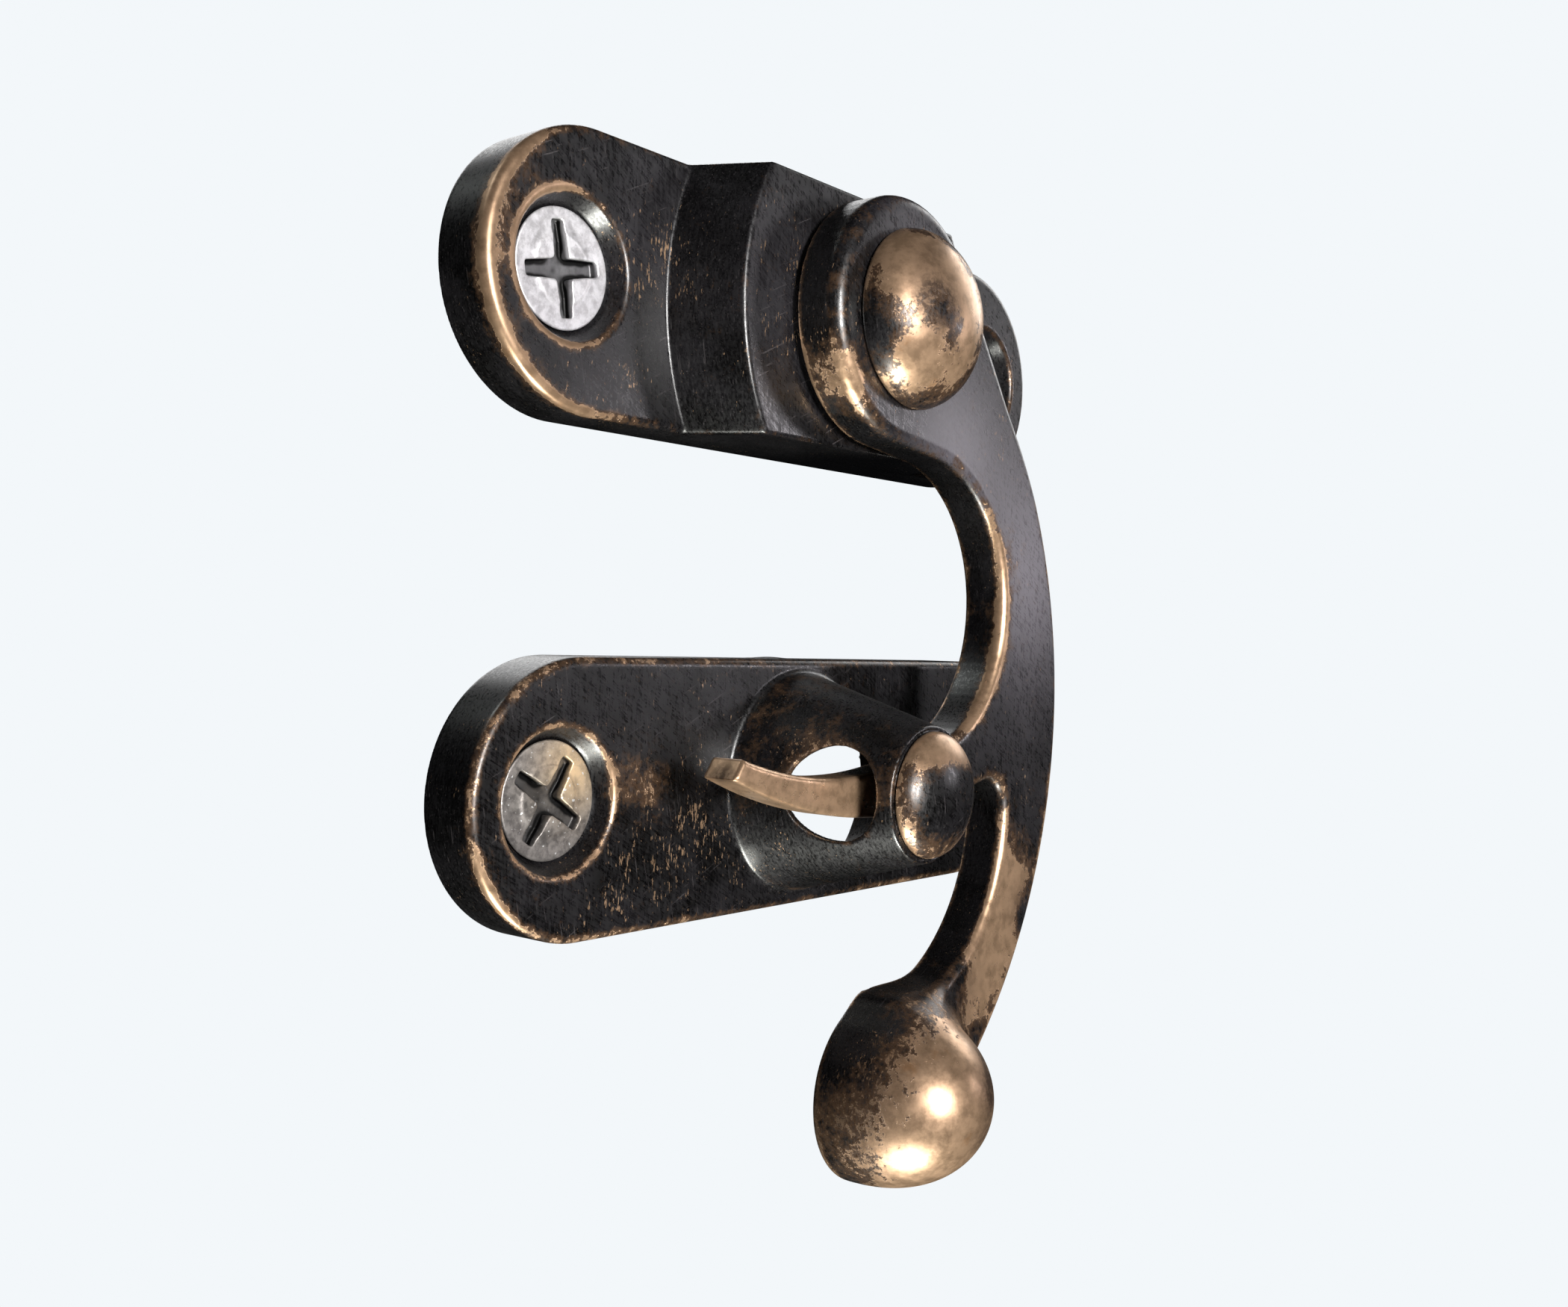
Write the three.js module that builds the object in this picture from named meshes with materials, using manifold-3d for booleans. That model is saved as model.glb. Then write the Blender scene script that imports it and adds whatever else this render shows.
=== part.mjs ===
// Swing-arm latch in antique bronze, for the front of a box or a small door.
//
// A long plate with a raised boss carries a swinging arm on a domed rivet. A second plate below it
// carries a hollow conical post with a cross hole. The arm's curved prong passes through that hole
// when the latch is shut, and the ball at the arm's lower end is what a finger pushes.
//
// Millimetres. The model is drawn in the "face frame": x to the right along the plates, y up, and z
// out of the wall the latch is screwed to. Its origin is the post's axis on the mounting plane. The
// last group turns the face frame upright, so that +Z is up and the latch faces -Y, and lowers it
// until the pivot's axis runs through the origin.

import * as THREE from "three";
import { mergeVertices } from "three/addons/utils/BufferGeometryUtils.js";
import Module from "manifold-3d";

const wasm = await Module();
wasm.setup();

// ---------------------------------------------------------------------------
// Driving dimensions
// ---------------------------------------------------------------------------

const SEAT_GAP = 0.04; // between pieces that rest on each other

// Both plates share one outline: a bar with round ends.
const PLATE_LENGTH = 28;
const PLATE_WIDTH = 8.2;
const PLATE_THICKNESS = 2.04;
const PLATE_EDGE_ROUNDING = 0.3;
const PLATE_SPACING = 15; // from the post's axis up to the pivot's axis

// The boss is the raised middle of the pivot plate. Each end is a ramp cut by a wide cone.
const BOSS_HEIGHT = 2.23;
const BOSS_RAMP_CENTRE = 1.8; // the cone's axis lies this far past the middle
const BOSS_RAMP_FOOT_RADIUS = 8.86;
const BOSS_RAMP_TOP_RADIUS = 7.87;

// Wood screws, and the countersunk holes they sit in.
const SCREW_OFFSET = 10.82; // along the plate, from its middle
const COUNTERSINK_RADIUS = 2.13;
const SCREW_HOLE_RADIUS = 1.15;
const SCREW_HEAD_RADIUS = 1.73;
const SCREW_HEAD_RECESS = 0.49; // how far the head's top lies below the plate's face
const SCREW_SHANK_RADIUS = 0.95;
const SCREW_LENGTH = 5;
const SCREW_POINT_LENGTH = 1.5;
const SCREW_HEAD_EDGE = 0.08; // the small bevel round the head
const CROSS_LENGTH = 2.78;
const CROSS_WIDTH = 0.5;
const CROSS_FLOOR_LENGTH = 2.6;
const CROSS_DEPTH = 0.3;

// How far each screw's cross is turned from upright, anticlockwise.
const CROSS_TURNS = { pivotLeft: 10, pivotRight: 33, catchLeft: -33, catchRight: -12 };

// The hollow post on the catch plate.
const POST_FOOT_RADIUS = 3.65;
const POST_TOP_RADIUS = 2.15;
const POST_HEIGHT = 5.24;
const POST_BORE_FOOT_RADIUS = 3.4;
const POST_BORE_TOP_RADIUS = 1.7;
const POST_HOLE_HEIGHT = 3.26; // the cross hole's axis above the plate's face
const POST_HOLE_RADIUS = 1.45; // at the side where the prong's tip comes out
const POST_HOLE_ENTRY_RADIUS = 1.62; // at the side where the prong goes in
const CORE_BACK_RADIUS = 6.3; // the core pocket's reach along the plate, at the plate's back

// The domed cap that closes the post's top.
const CAP_RADIUS = 2.06;
const CAP_HEIGHT = 0.93;
const CAP_PLUG_LENGTH = 0.34;

// The swinging arm.
const ARM_BACK = 4.5;
const ARM_FRONT = 6.1;
const ARM_EDGE_ROUNDING = 0.35;
const EYE_RADIUS = 3.93;
const ARM_BORE_RADIUS = 1.27;
const WASHER_POCKET_RADIUS = 2.35;
const WASHER_POCKET_DEPTH = 0.14;

// The arm's outline is a chain of arcs. Each is [x, y] of its centre, and its radius.
const OUTER_EDGE = { centre: [-6.6, 2.37], radius: 16.7 };
const UPPER_SCALLOP = { centre: [1.25, 6.03], radius: 4.83 };
const LOWER_SCALLOP = { centre: [0.5, -1.12], radius: 5.99 };
const PRONG_TOP_LOW_POINT = [-2.5, 0.56]; // its top edge runs through here and into the scallop
const PRONG_LOWER_EDGE = { centre: [-0.3, 18.2], radius: 19 };
const ROOT_FILLET_RADIUS = 0.9;
const ROOT_END = 3.3; // x where the arm's full thickness stops, at the prong's lower edge

const PRONG_BACK = 4.6;
const PRONG_FRONT = 5.9;
const PRONG_EDGE_ROUNDING = 0.28;
const PRONG_TIP_TOP = -7.4; // x of the tip's upper corner
const PRONG_TIP_LOWER = -7.8; // and of its lower corner

// The ball is a short tapered drum with a long dome in front of it, and a flat back.
const BALL = { centre: [1, -9.93], radius: 3.06 };
const BALL_DOME_RADIUS = 2.88;
const BALL_DRUM_LENGTH = 1.13;
const BALL_DOME_LENGTH = 3.25;

// The pivot rivet, and the two washers it holds.
const RIVET_HEAD_RADIUS = 2.84;
const RIVET_HEAD_HEIGHT = 1.88;
const RIVET_SHANK_RADIUS = 1.2;
const RIVET_HOLE_RADIUS = 1.24;
const RIVET_TAIL_RADIUS = 1.85;
const RIVET_TAIL_BACK_RADIUS = 1.3;
const RIVET_TAIL_BACK = 0; // the tail ends flush with the plate's back
const RIVET_TAIL_FRONT = 0.6;
const WASHER_BORE_RADIUS = 1.26;
const TAIL_POCKET_RADIUS = 2.6;
const TAIL_POCKET_DEPTH = 1.12;
const TAIL_WASHER_RADIUS = 2.4;
const TAIL_WASHER_THICKNESS = 0.4;
const FRICTION_WASHER_RADIUS = 2.25;
const FRICTION_WASHER_THICKNESS = 0.3;

// Fineness of the round surfaces.
const FINE = 48; // facets round a large turned piece
const MEDIUM = 32;
const COARSE = 20;
const ARC_DIVISIONS = 10; // pieces in each arc of an extruded outline
const DOME_RINGS = 10;
const ROUNDING_STEPS = 3;
const SHORTEST_EDGE = 0.1;
const OVERLAP = 0.5; // how far joined or cutting shapes run into each other
const WIDE = 40; // a size that clears the whole latch

const BOSS_TOP = PLATE_THICKNESS + BOSS_HEIGHT;
const POST_TOP = PLATE_THICKNESS + POST_HEIGHT;
const SCREW_HEAD_TOP = PLATE_THICKNESS - SCREW_HEAD_RECESS;

// ---------------------------------------------------------------------------
// Booleans
// ---------------------------------------------------------------------------

// A closed three.js geometry as a manifold-3d solid.
function toSolid(geometry) {
  const bare = geometry.clone();
  bare.deleteAttribute("normal");
  bare.deleteAttribute("uv");
  const merged = mergeVertices(bare, 1e-5);
  return new wasm.Manifold(
    new wasm.Mesh({
      numProp: 3,
      vertProperties: merged.attributes.position.array,
      triVerts: new Uint32Array(merged.index.array),
    }),
  );
}

// A manifold-3d solid as a flat-shaded three.js geometry.
function toGeometry(solid) {
  const mesh = solid.getMesh();
  const geometry = new THREE.BufferGeometry();
  geometry.setAttribute("position", new THREE.BufferAttribute(mesh.vertProperties, 3));
  geometry.setIndex(new THREE.BufferAttribute(mesh.triVerts, 1));
  const flat = geometry.toNonIndexed();
  flat.computeVertexNormals();
  return flat;
}

function join(first, ...others) {
  return others.reduce((solid, other) => solid.add(other), first);
}

function cut(first, ...others) {
  return others.reduce((solid, other) => solid.subtract(other), first);
}

// ---------------------------------------------------------------------------
// Basic shapes, all standing on the z axis of the face frame
// ---------------------------------------------------------------------------

// A box between two corners.
function block(low, high) {
  const size = high.map((value, axis) => value - low[axis]);
  const geometry = new THREE.BoxGeometry(...size);
  geometry.translate(...low.map((value, axis) => value + size[axis] / 2));
  return toSolid(geometry);
}

// A turned piece about the z axis. The profile is a list of [radius, z] from the back to the front.
function turned(profile, facets, x = 0, y = 0) {
  const points = profile.map(([radius, z]) => new THREE.Vector2(radius, z));
  const geometry = new THREE.LatheGeometry(points, facets);
  geometry.rotateX(Math.PI / 2);
  geometry.translate(x, y, 0);
  return toSolid(geometry);
}

// The part of a dome's profile from its rim to its crown: a quarter of an ellipse.
function domeProfile(radius, base, height) {
  const profile = [];
  for (let ring = 0; ring <= DOME_RINGS; ring += 1) {
    const angle = (ring / DOME_RINGS) * (Math.PI / 2);
    const crown = ring === DOME_RINGS;
    profile.push([crown ? 0 : radius * Math.cos(angle), base + height * Math.sin(angle)]);
  }
  return profile;
}

// The outline as straight pieces, without the doubled points where one arc meets the next.
function polygon(outline) {
  const kept = [];
  for (const point of outline.getPoints(ARC_DIVISIONS)) {
    const neighbours = [kept[0], kept[kept.length - 1]];
    if (neighbours.every((other) => !other || point.distanceTo(other) > SHORTEST_EDGE)) {
      kept.push(point);
    }
  }
  return new THREE.Shape(kept);
}

// An outline extruded from back to front with its front edge rounded and its back edge square.
function slab(outline, back, front, rounding) {
  const geometry = new THREE.ExtrudeGeometry(polygon(outline), {
    depth: front - back + OVERLAP - rounding,
    bevelThickness: rounding,
    bevelSize: rounding,
    bevelOffset: -rounding,
    bevelSegments: ROUNDING_STEPS,
  });
  geometry.translate(0, 0, back - OVERLAP);
  return cut(toSolid(geometry), block([-WIDE, -WIDE, -WIDE], [WIDE, WIDE, back]));
}

// An outline extruded with both of its edges rounded.
function pillow(outline, back, front, rounding) {
  const geometry = new THREE.ExtrudeGeometry(polygon(outline), {
    depth: front - back - 2 * rounding,
    bevelThickness: rounding,
    bevelSize: rounding,
    bevelOffset: -rounding,
    bevelSegments: ROUNDING_STEPS,
  });
  geometry.translate(0, 0, back + rounding);
  return toSolid(geometry);
}

// ---------------------------------------------------------------------------
// Circle geometry for the arm's outline
// ---------------------------------------------------------------------------

const angleOf = (from, to) => Math.atan2(to[1] - from[1], to[0] - from[0]);
const distance = (a, b) => Math.hypot(b[0] - a[0], b[1] - a[1]);

// The angle at which one straight line touches both circles on the same side.
function outerTangentAngle(small, large) {
  const apart = distance(large.centre, small.centre);
  const lean = Math.acos((large.radius - small.radius) / apart);
  return angleOf(large.centre, small.centre) - lean;
}

// The angle at which a straight line leaves the first circle to touch the second from across.
function crossTangentAngle(first, second) {
  const apart = distance(first.centre, second.centre);
  const lean = Math.acos((first.radius + second.radius) / apart);
  return angleOf(first.centre, second.centre) - lean;
}

// The crossing of two circles that lies further to the right.
function rightCrossing(first, second) {
  const apart = distance(first.centre, second.centre);
  const along = (apart ** 2 + first.radius ** 2 - second.radius ** 2) / (2 * apart);
  const across = Math.sqrt(first.radius ** 2 - along ** 2);
  const heading = angleOf(first.centre, second.centre);
  const crossings = [1, -1].map((side) => [
    first.centre[0] + along * Math.cos(heading) - side * across * Math.sin(heading),
    first.centre[1] + along * Math.sin(heading) + side * across * Math.cos(heading),
  ]);
  return crossings[0][0] > crossings[1][0] ? crossings[0] : crossings[1];
}

// The angle on the lower half of an arc where it reaches a given x.
const lowerAngleAt = (arc, x) => -Math.acos((x - arc.centre[0]) / arc.radius);

function lowerPointAt(arc, x) {
  return [x, arc.centre[1] - Math.sqrt(arc.radius ** 2 - (x - arc.centre[0]) ** 2)];
}

function addArc(outline, arc, start, end, clockwise) {
  outline.absarc(arc.centre[0], arc.centre[1], arc.radius, start, end, clockwise);
}

// ---------------------------------------------------------------------------
// Plates
// ---------------------------------------------------------------------------

function plateOutline() {
  const radius = PLATE_WIDTH / 2;
  const reach = PLATE_LENGTH / 2 - radius;
  const outline = new THREE.Shape();
  outline.absarc(reach, 0, radius, -Math.PI / 2, Math.PI / 2, false);
  outline.absarc(-reach, 0, radius, Math.PI / 2, (3 * Math.PI) / 2, false);
  return outline;
}

function countersunkHole(x) {
  const seatRadius = SCREW_HEAD_RADIUS + SCREW_HEAD_EDGE + SEAT_GAP;
  const coneFoot = SCREW_HEAD_TOP - (seatRadius - SCREW_HOLE_RADIUS);
  const profile = [
    [0, -OVERLAP],
    [SCREW_HOLE_RADIUS, -OVERLAP],
    [SCREW_HOLE_RADIUS, coneFoot],
    [seatRadius, SCREW_HEAD_TOP],
    [COUNTERSINK_RADIUS, PLATE_THICKNESS],
    [COUNTERSINK_RADIUS, PLATE_THICKNESS + OVERLAP],
    [0, PLATE_THICKNESS + OVERLAP],
  ];
  return turned(profile, MEDIUM, x, 0);
}

function plainPlate() {
  return slab(plateOutline(), 0, PLATE_THICKNESS, PLATE_EDGE_ROUNDING);
}

// The boss's ramps are the flanks of two wide cones, one for each end.
function boss() {
  const half = PLATE_WIDTH / 2;
  const low = PLATE_THICKNESS - OVERLAP;
  const spread = (BOSS_RAMP_FOOT_RADIUS - BOSS_RAMP_TOP_RADIUS) / BOSS_HEIGHT;
  const cone = [
    [0, low],
    [BOSS_RAMP_FOOT_RADIUS + spread * OVERLAP, low],
    [BOSS_RAMP_TOP_RADIUS, BOSS_TOP],
    [0, BOSS_TOP],
  ];
  const bar = block([-WIDE, -half, low], [WIDE, half, BOSS_TOP]);
  const left = turned(cone, 2 * FINE, BOSS_RAMP_CENTRE, 0);
  const right = turned(cone, 2 * FINE, -BOSS_RAMP_CENTRE, 0);
  return bar.intersect(left).intersect(right);
}

function pivotPlate() {
  const rivetHole = turned(
    [
      [0, -OVERLAP],
      [TAIL_POCKET_RADIUS, -OVERLAP],
      [TAIL_POCKET_RADIUS, TAIL_POCKET_DEPTH],
      [RIVET_HOLE_RADIUS, TAIL_POCKET_DEPTH],
      [RIVET_HOLE_RADIUS, BOSS_TOP + OVERLAP],
      [0, BOSS_TOP + OVERLAP],
    ],
    MEDIUM,
  );
  const body = join(plainPlate(), boss());
  return cut(body, rivetHole, countersunkHole(-SCREW_OFFSET), countersunkHole(SCREW_OFFSET));
}

// The pocket left by the core that hollows the post: it matches the bore at the plate's face and
// spreads along the plate towards the back.
function corePocket() {
  const spread = (CORE_BACK_RADIUS - POST_BORE_FOOT_RADIUS) / PLATE_THICKNESS;
  const cone = turned(
    [
      [0, -OVERLAP],
      [CORE_BACK_RADIUS + spread * OVERLAP, -OVERLAP],
      [POST_BORE_FOOT_RADIUS, PLATE_THICKNESS],
      [0, PLATE_THICKNESS],
    ],
    2 * FINE,
  );
  const half = POST_BORE_FOOT_RADIUS;
  return cone.intersect(block([-WIDE, -half, -WIDE], [WIDE, half, WIDE]));
}

function catchPlate() {
  const post = turned(
    [
      [0, PLATE_THICKNESS - OVERLAP],
      [POST_FOOT_RADIUS, PLATE_THICKNESS - OVERLAP],
      [POST_FOOT_RADIUS, PLATE_THICKNESS],
      [POST_TOP_RADIUS, POST_TOP],
      [0, POST_TOP],
    ],
    FINE,
  );
  const bore = turned(
    [
      [0, PLATE_THICKNESS - SEAT_GAP],
      [POST_BORE_FOOT_RADIUS, PLATE_THICKNESS - SEAT_GAP],
      [POST_BORE_TOP_RADIUS, POST_TOP],
      [POST_BORE_TOP_RADIUS, POST_TOP + OVERLAP],
      [0, POST_TOP + OVERLAP],
    ],
    FINE,
  );
  const drill = new THREE.CylinderGeometry(
    POST_HOLE_RADIUS,
    POST_HOLE_ENTRY_RADIUS,
    2 * POST_FOOT_RADIUS,
    MEDIUM,
  );
  drill.rotateZ(Math.PI / 2);
  drill.translate(0, 0, PLATE_THICKNESS + POST_HOLE_HEIGHT);
  return cut(
    join(plainPlate(), post),
    bore,
    corePocket(),
    toSolid(drill),
    countersunkHole(-SCREW_OFFSET),
    countersunkHole(SCREW_OFFSET),
  );
}

function postCap() {
  const plugRadius = POST_BORE_TOP_RADIUS - SEAT_GAP;
  const plugEnd = POST_TOP - CAP_PLUG_LENGTH;
  const seat = POST_TOP + SEAT_GAP;
  return turned(
    [[0, plugEnd], [plugRadius, plugEnd], [plugRadius, seat], ...domeProfile(CAP_RADIUS, seat, CAP_HEIGHT)],
    MEDIUM,
  );
}

// ---------------------------------------------------------------------------
// Swinging arm
// ---------------------------------------------------------------------------

const EYE = { centre: [0, PLATE_SPACING], radius: EYE_RADIUS };

// The prong's top edge is the arc through its low point that the upper scallop runs into smoothly.
function prongTopEdge() {
  const [lowX, lowY] = PRONG_TOP_LOW_POINT;
  const { centre, radius: scallop } = UPPER_SCALLOP;
  const across = lowX - centre[0];
  const above = lowY - centre[1];
  const radius = (scallop ** 2 - across ** 2 - above ** 2) / (2 * (above + scallop));
  return { centre: [lowX, lowY + radius], radius };
}

const PRONG_TOP_EDGE = prongTopEdge();
const PRONG_TOP_START = angleOf(PRONG_TOP_EDGE.centre, UPPER_SCALLOP.centre);

// The fillet that turns the prong's lower edge down into the lower scallop.
function rootFillet() {
  const insideScallop = {
    centre: LOWER_SCALLOP.centre,
    radius: LOWER_SCALLOP.radius - ROOT_FILLET_RADIUS,
  };
  const underProng = {
    centre: PRONG_LOWER_EDGE.centre,
    radius: PRONG_LOWER_EDGE.radius + ROOT_FILLET_RADIUS,
  };
  return { centre: rightCrossing(insideScallop, underProng), radius: ROOT_FILLET_RADIUS };
}

// Eye, curved limb and the root of the prong. It ends inside the ball.
function limbOutline() {
  const outside = outerTangentAngle(EYE, OUTER_EDGE);
  const inside = crossTangentAngle(EYE, UPPER_SCALLOP) + 2 * Math.PI;
  const fillet = rootFillet();
  const filletStart = angleOf(fillet.centre, PRONG_LOWER_EDGE.centre);
  const filletEnd = angleOf(LOWER_SCALLOP.centre, fillet.centre);
  const ballEnd = lowerAngleAt(OUTER_EDGE, BALL.centre[0] + BALL_DOME_RADIUS);
  const outline = new THREE.Shape();
  addArc(outline, EYE, outside, inside, false);
  addArc(outline, UPPER_SCALLOP, inside - Math.PI, PRONG_TOP_START, true);
  outline.lineTo(...lowerPointAt(PRONG_LOWER_EDGE, ROOT_END));
  addArc(outline, fillet, filletStart, filletEnd, true);
  addArc(outline, LOWER_SCALLOP, filletEnd, -Math.PI / 2, true);
  outline.lineTo(...BALL.centre);
  addArc(outline, OUTER_EDGE, ballEnd, outside, false);
  return outline;
}

function prongOutline() {
  const rootX = ROOT_END + ROOT_FILLET_RADIUS;
  const outline = new THREE.Shape();
  outline.moveTo(rootX, lowerPointAt(PRONG_TOP_EDGE, ROOT_END)[1]);
  addArc(
    outline,
    PRONG_TOP_EDGE,
    PRONG_TOP_START,
    lowerAngleAt(PRONG_TOP_EDGE, PRONG_TIP_TOP),
    true,
  );
  addArc(
    outline,
    PRONG_LOWER_EDGE,
    lowerAngleAt(PRONG_LOWER_EDGE, PRONG_TIP_LOWER),
    lowerAngleAt(PRONG_LOWER_EDGE, rootX),
    false,
  );
  return outline;
}

function swingArm() {
  const limb = slab(limbOutline(), ARM_BACK, ARM_FRONT, ARM_EDGE_ROUNDING);
  const prong = pillow(prongOutline(), PRONG_BACK, PRONG_FRONT, PRONG_EDGE_ROUNDING);
  const ball = turned(
    [
      [0, ARM_BACK],
      [BALL.radius, ARM_BACK],
      ...domeProfile(BALL_DOME_RADIUS, ARM_BACK + BALL_DRUM_LENGTH, BALL_DOME_LENGTH),
    ],
    FINE,
    ...BALL.centre,
  );
  const bore = turned(
    [
      [0, ARM_BACK - OVERLAP],
      [WASHER_POCKET_RADIUS, ARM_BACK - OVERLAP],
      [WASHER_POCKET_RADIUS, ARM_BACK + WASHER_POCKET_DEPTH],
      [ARM_BORE_RADIUS, ARM_BACK + WASHER_POCKET_DEPTH],
      [ARM_BORE_RADIUS, ARM_FRONT + OVERLAP],
      [0, ARM_FRONT + OVERLAP],
    ],
    MEDIUM,
    ...EYE.centre,
  );
  return cut(join(limb, prong, ball), bore);
}

// ---------------------------------------------------------------------------
// Rivet, washers and screws
// ---------------------------------------------------------------------------

function pivotRivet() {
  const headBase = ARM_FRONT + SEAT_GAP;
  return turned(
    [
      [0, RIVET_TAIL_BACK],
      [RIVET_TAIL_BACK_RADIUS, RIVET_TAIL_BACK],
      [RIVET_TAIL_RADIUS, (RIVET_TAIL_BACK + RIVET_TAIL_FRONT) / 2],
      [RIVET_TAIL_RADIUS, RIVET_TAIL_FRONT],
      [RIVET_SHANK_RADIUS, RIVET_TAIL_FRONT],
      [RIVET_SHANK_RADIUS, headBase],
      ...domeProfile(RIVET_HEAD_RADIUS, headBase, RIVET_HEAD_HEIGHT),
    ],
    FINE,
  );
}

function washer(outerRadius, back, thickness) {
  const front = back + thickness;
  return turned(
    [
      [WASHER_BORE_RADIUS, back],
      [outerRadius, back],
      [outerRadius, front],
      [WASHER_BORE_RADIUS, front],
      [WASHER_BORE_RADIUS, back],
    ],
    MEDIUM,
  );
}

function tailWasher() {
  const back = RIVET_TAIL_FRONT + SEAT_GAP;
  return washer(TAIL_WASHER_RADIUS, back, TAIL_WASHER_THICKNESS);
}

function frictionWasher() {
  return washer(FRICTION_WASHER_RADIUS, BOSS_TOP + SEAT_GAP, FRICTION_WASHER_THICKNESS);
}

// A countersunk wood screw with a cross recess, standing on its own axis.
function woodScrew() {
  const coneFoot = SCREW_HEAD_TOP - (SCREW_HEAD_RADIUS - SCREW_SHANK_RADIUS);
  const pointStart = SCREW_HEAD_TOP - SCREW_LENGTH + SCREW_POINT_LENGTH;
  const body = turned(
    [
      [0, SCREW_HEAD_TOP - SCREW_LENGTH],
      [SCREW_SHANK_RADIUS, pointStart],
      [SCREW_SHANK_RADIUS, coneFoot - SCREW_HEAD_EDGE],
      [SCREW_HEAD_RADIUS, SCREW_HEAD_TOP - SCREW_HEAD_EDGE],
      [SCREW_HEAD_RADIUS - SCREW_HEAD_EDGE, SCREW_HEAD_TOP],
      [0, SCREW_HEAD_TOP],
    ],
    COARSE,
  );
  const arm = crossArm();
  return cut(body, toSolid(arm), toSolid(arm.clone().rotateZ(Math.PI / 2)));
}

// One bar of the cross: a wedge that narrows and shortens towards its floor.
function crossArm() {
  const half = CROSS_LENGTH / 2;
  const floor = CROSS_FLOOR_LENGTH / 2;
  const side = new THREE.Shape();
  side.moveTo(-half, OVERLAP);
  side.lineTo(-half, 0);
  side.lineTo(-floor, -CROSS_DEPTH);
  side.lineTo(floor, -CROSS_DEPTH);
  side.lineTo(half, 0);
  side.lineTo(half, OVERLAP);
  const geometry = new THREE.ExtrudeGeometry(side, { depth: CROSS_WIDTH, bevelEnabled: false });
  geometry.translate(0, 0, -CROSS_WIDTH / 2);
  geometry.rotateX(Math.PI / 2);
  geometry.translate(0, 0, SCREW_HEAD_TOP);
  return geometry;
}

// ---------------------------------------------------------------------------
// Materials and assembly
// ---------------------------------------------------------------------------

const bronze = new THREE.MeshStandardMaterial({ color: 0x2b272b, roughness: 0.42, metalness: 0.9 });
const wornBronze = new THREE.MeshStandardMaterial({ color: 0x8a6a4c, roughness: 0.35, metalness: 1 });
const zinc = new THREE.MeshStandardMaterial({ color: 0xa9a8aa, roughness: 0.38, metalness: 1 });
const agedZinc = new THREE.MeshStandardMaterial({ color: 0x5d5852, roughness: 0.45, metalness: 1 });

function addPiece(group, name, solid, material, x = 0, turnDegrees = 0) {
  const mesh = new THREE.Mesh(toGeometry(solid), material);
  mesh.name = name;
  mesh.position.x = x;
  mesh.rotation.z = THREE.MathUtils.degToRad(turnDegrees);
  group.add(mesh);
}

const screw = woodScrew();

const catchSide = new THREE.Group();
addPiece(catchSide, "catch_plate", catchPlate(), bronze);
addPiece(catchSide, "post_cap", postCap(), wornBronze);
addPiece(catchSide, "catch_screw_left", screw, agedZinc, -SCREW_OFFSET, CROSS_TURNS.catchLeft);
addPiece(catchSide, "catch_screw_right", screw, agedZinc, SCREW_OFFSET, CROSS_TURNS.catchRight);

const pivotSide = new THREE.Group();
pivotSide.position.y = PLATE_SPACING;
addPiece(pivotSide, "pivot_plate", pivotPlate(), bronze);
addPiece(pivotSide, "friction_washer", frictionWasher(), zinc);
addPiece(pivotSide, "pivot_rivet", pivotRivet(), wornBronze);
addPiece(pivotSide, "tail_washer", tailWasher(), zinc);
addPiece(pivotSide, "pivot_screw_left", screw, zinc, -SCREW_OFFSET, CROSS_TURNS.pivotLeft);
addPiece(pivotSide, "pivot_screw_right", screw, zinc, SCREW_OFFSET, CROSS_TURNS.pivotRight);

const latch = new THREE.Group();
addPiece(latch, "swing_arm", swingArm(), bronze);
latch.add(catchSide, pivotSide);
latch.rotation.x = Math.PI / 2;
latch.position.z = -PLATE_SPACING;

const group = new THREE.Group();
group.add(latch);

export default group;
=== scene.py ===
"""Looks of the swing-arm latch: cast bronze pieces with a worn near-black patina, and zinc screws.

Every piece is described by a distance function: negative inside the metal, zero on its skin. The skin is
then meshed, so that edges, fillets and necks are as soft as those of a real casting.

Distances are in millimetres in the "face frame" of the latch: x to the right, y up from the post's axis,
and z out of the wall. place() turns them into Blender's metres in the frame of the CAD model.
"""

import math

import bpy
import numpy as np
from mathutils import Matrix, Vector


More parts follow.
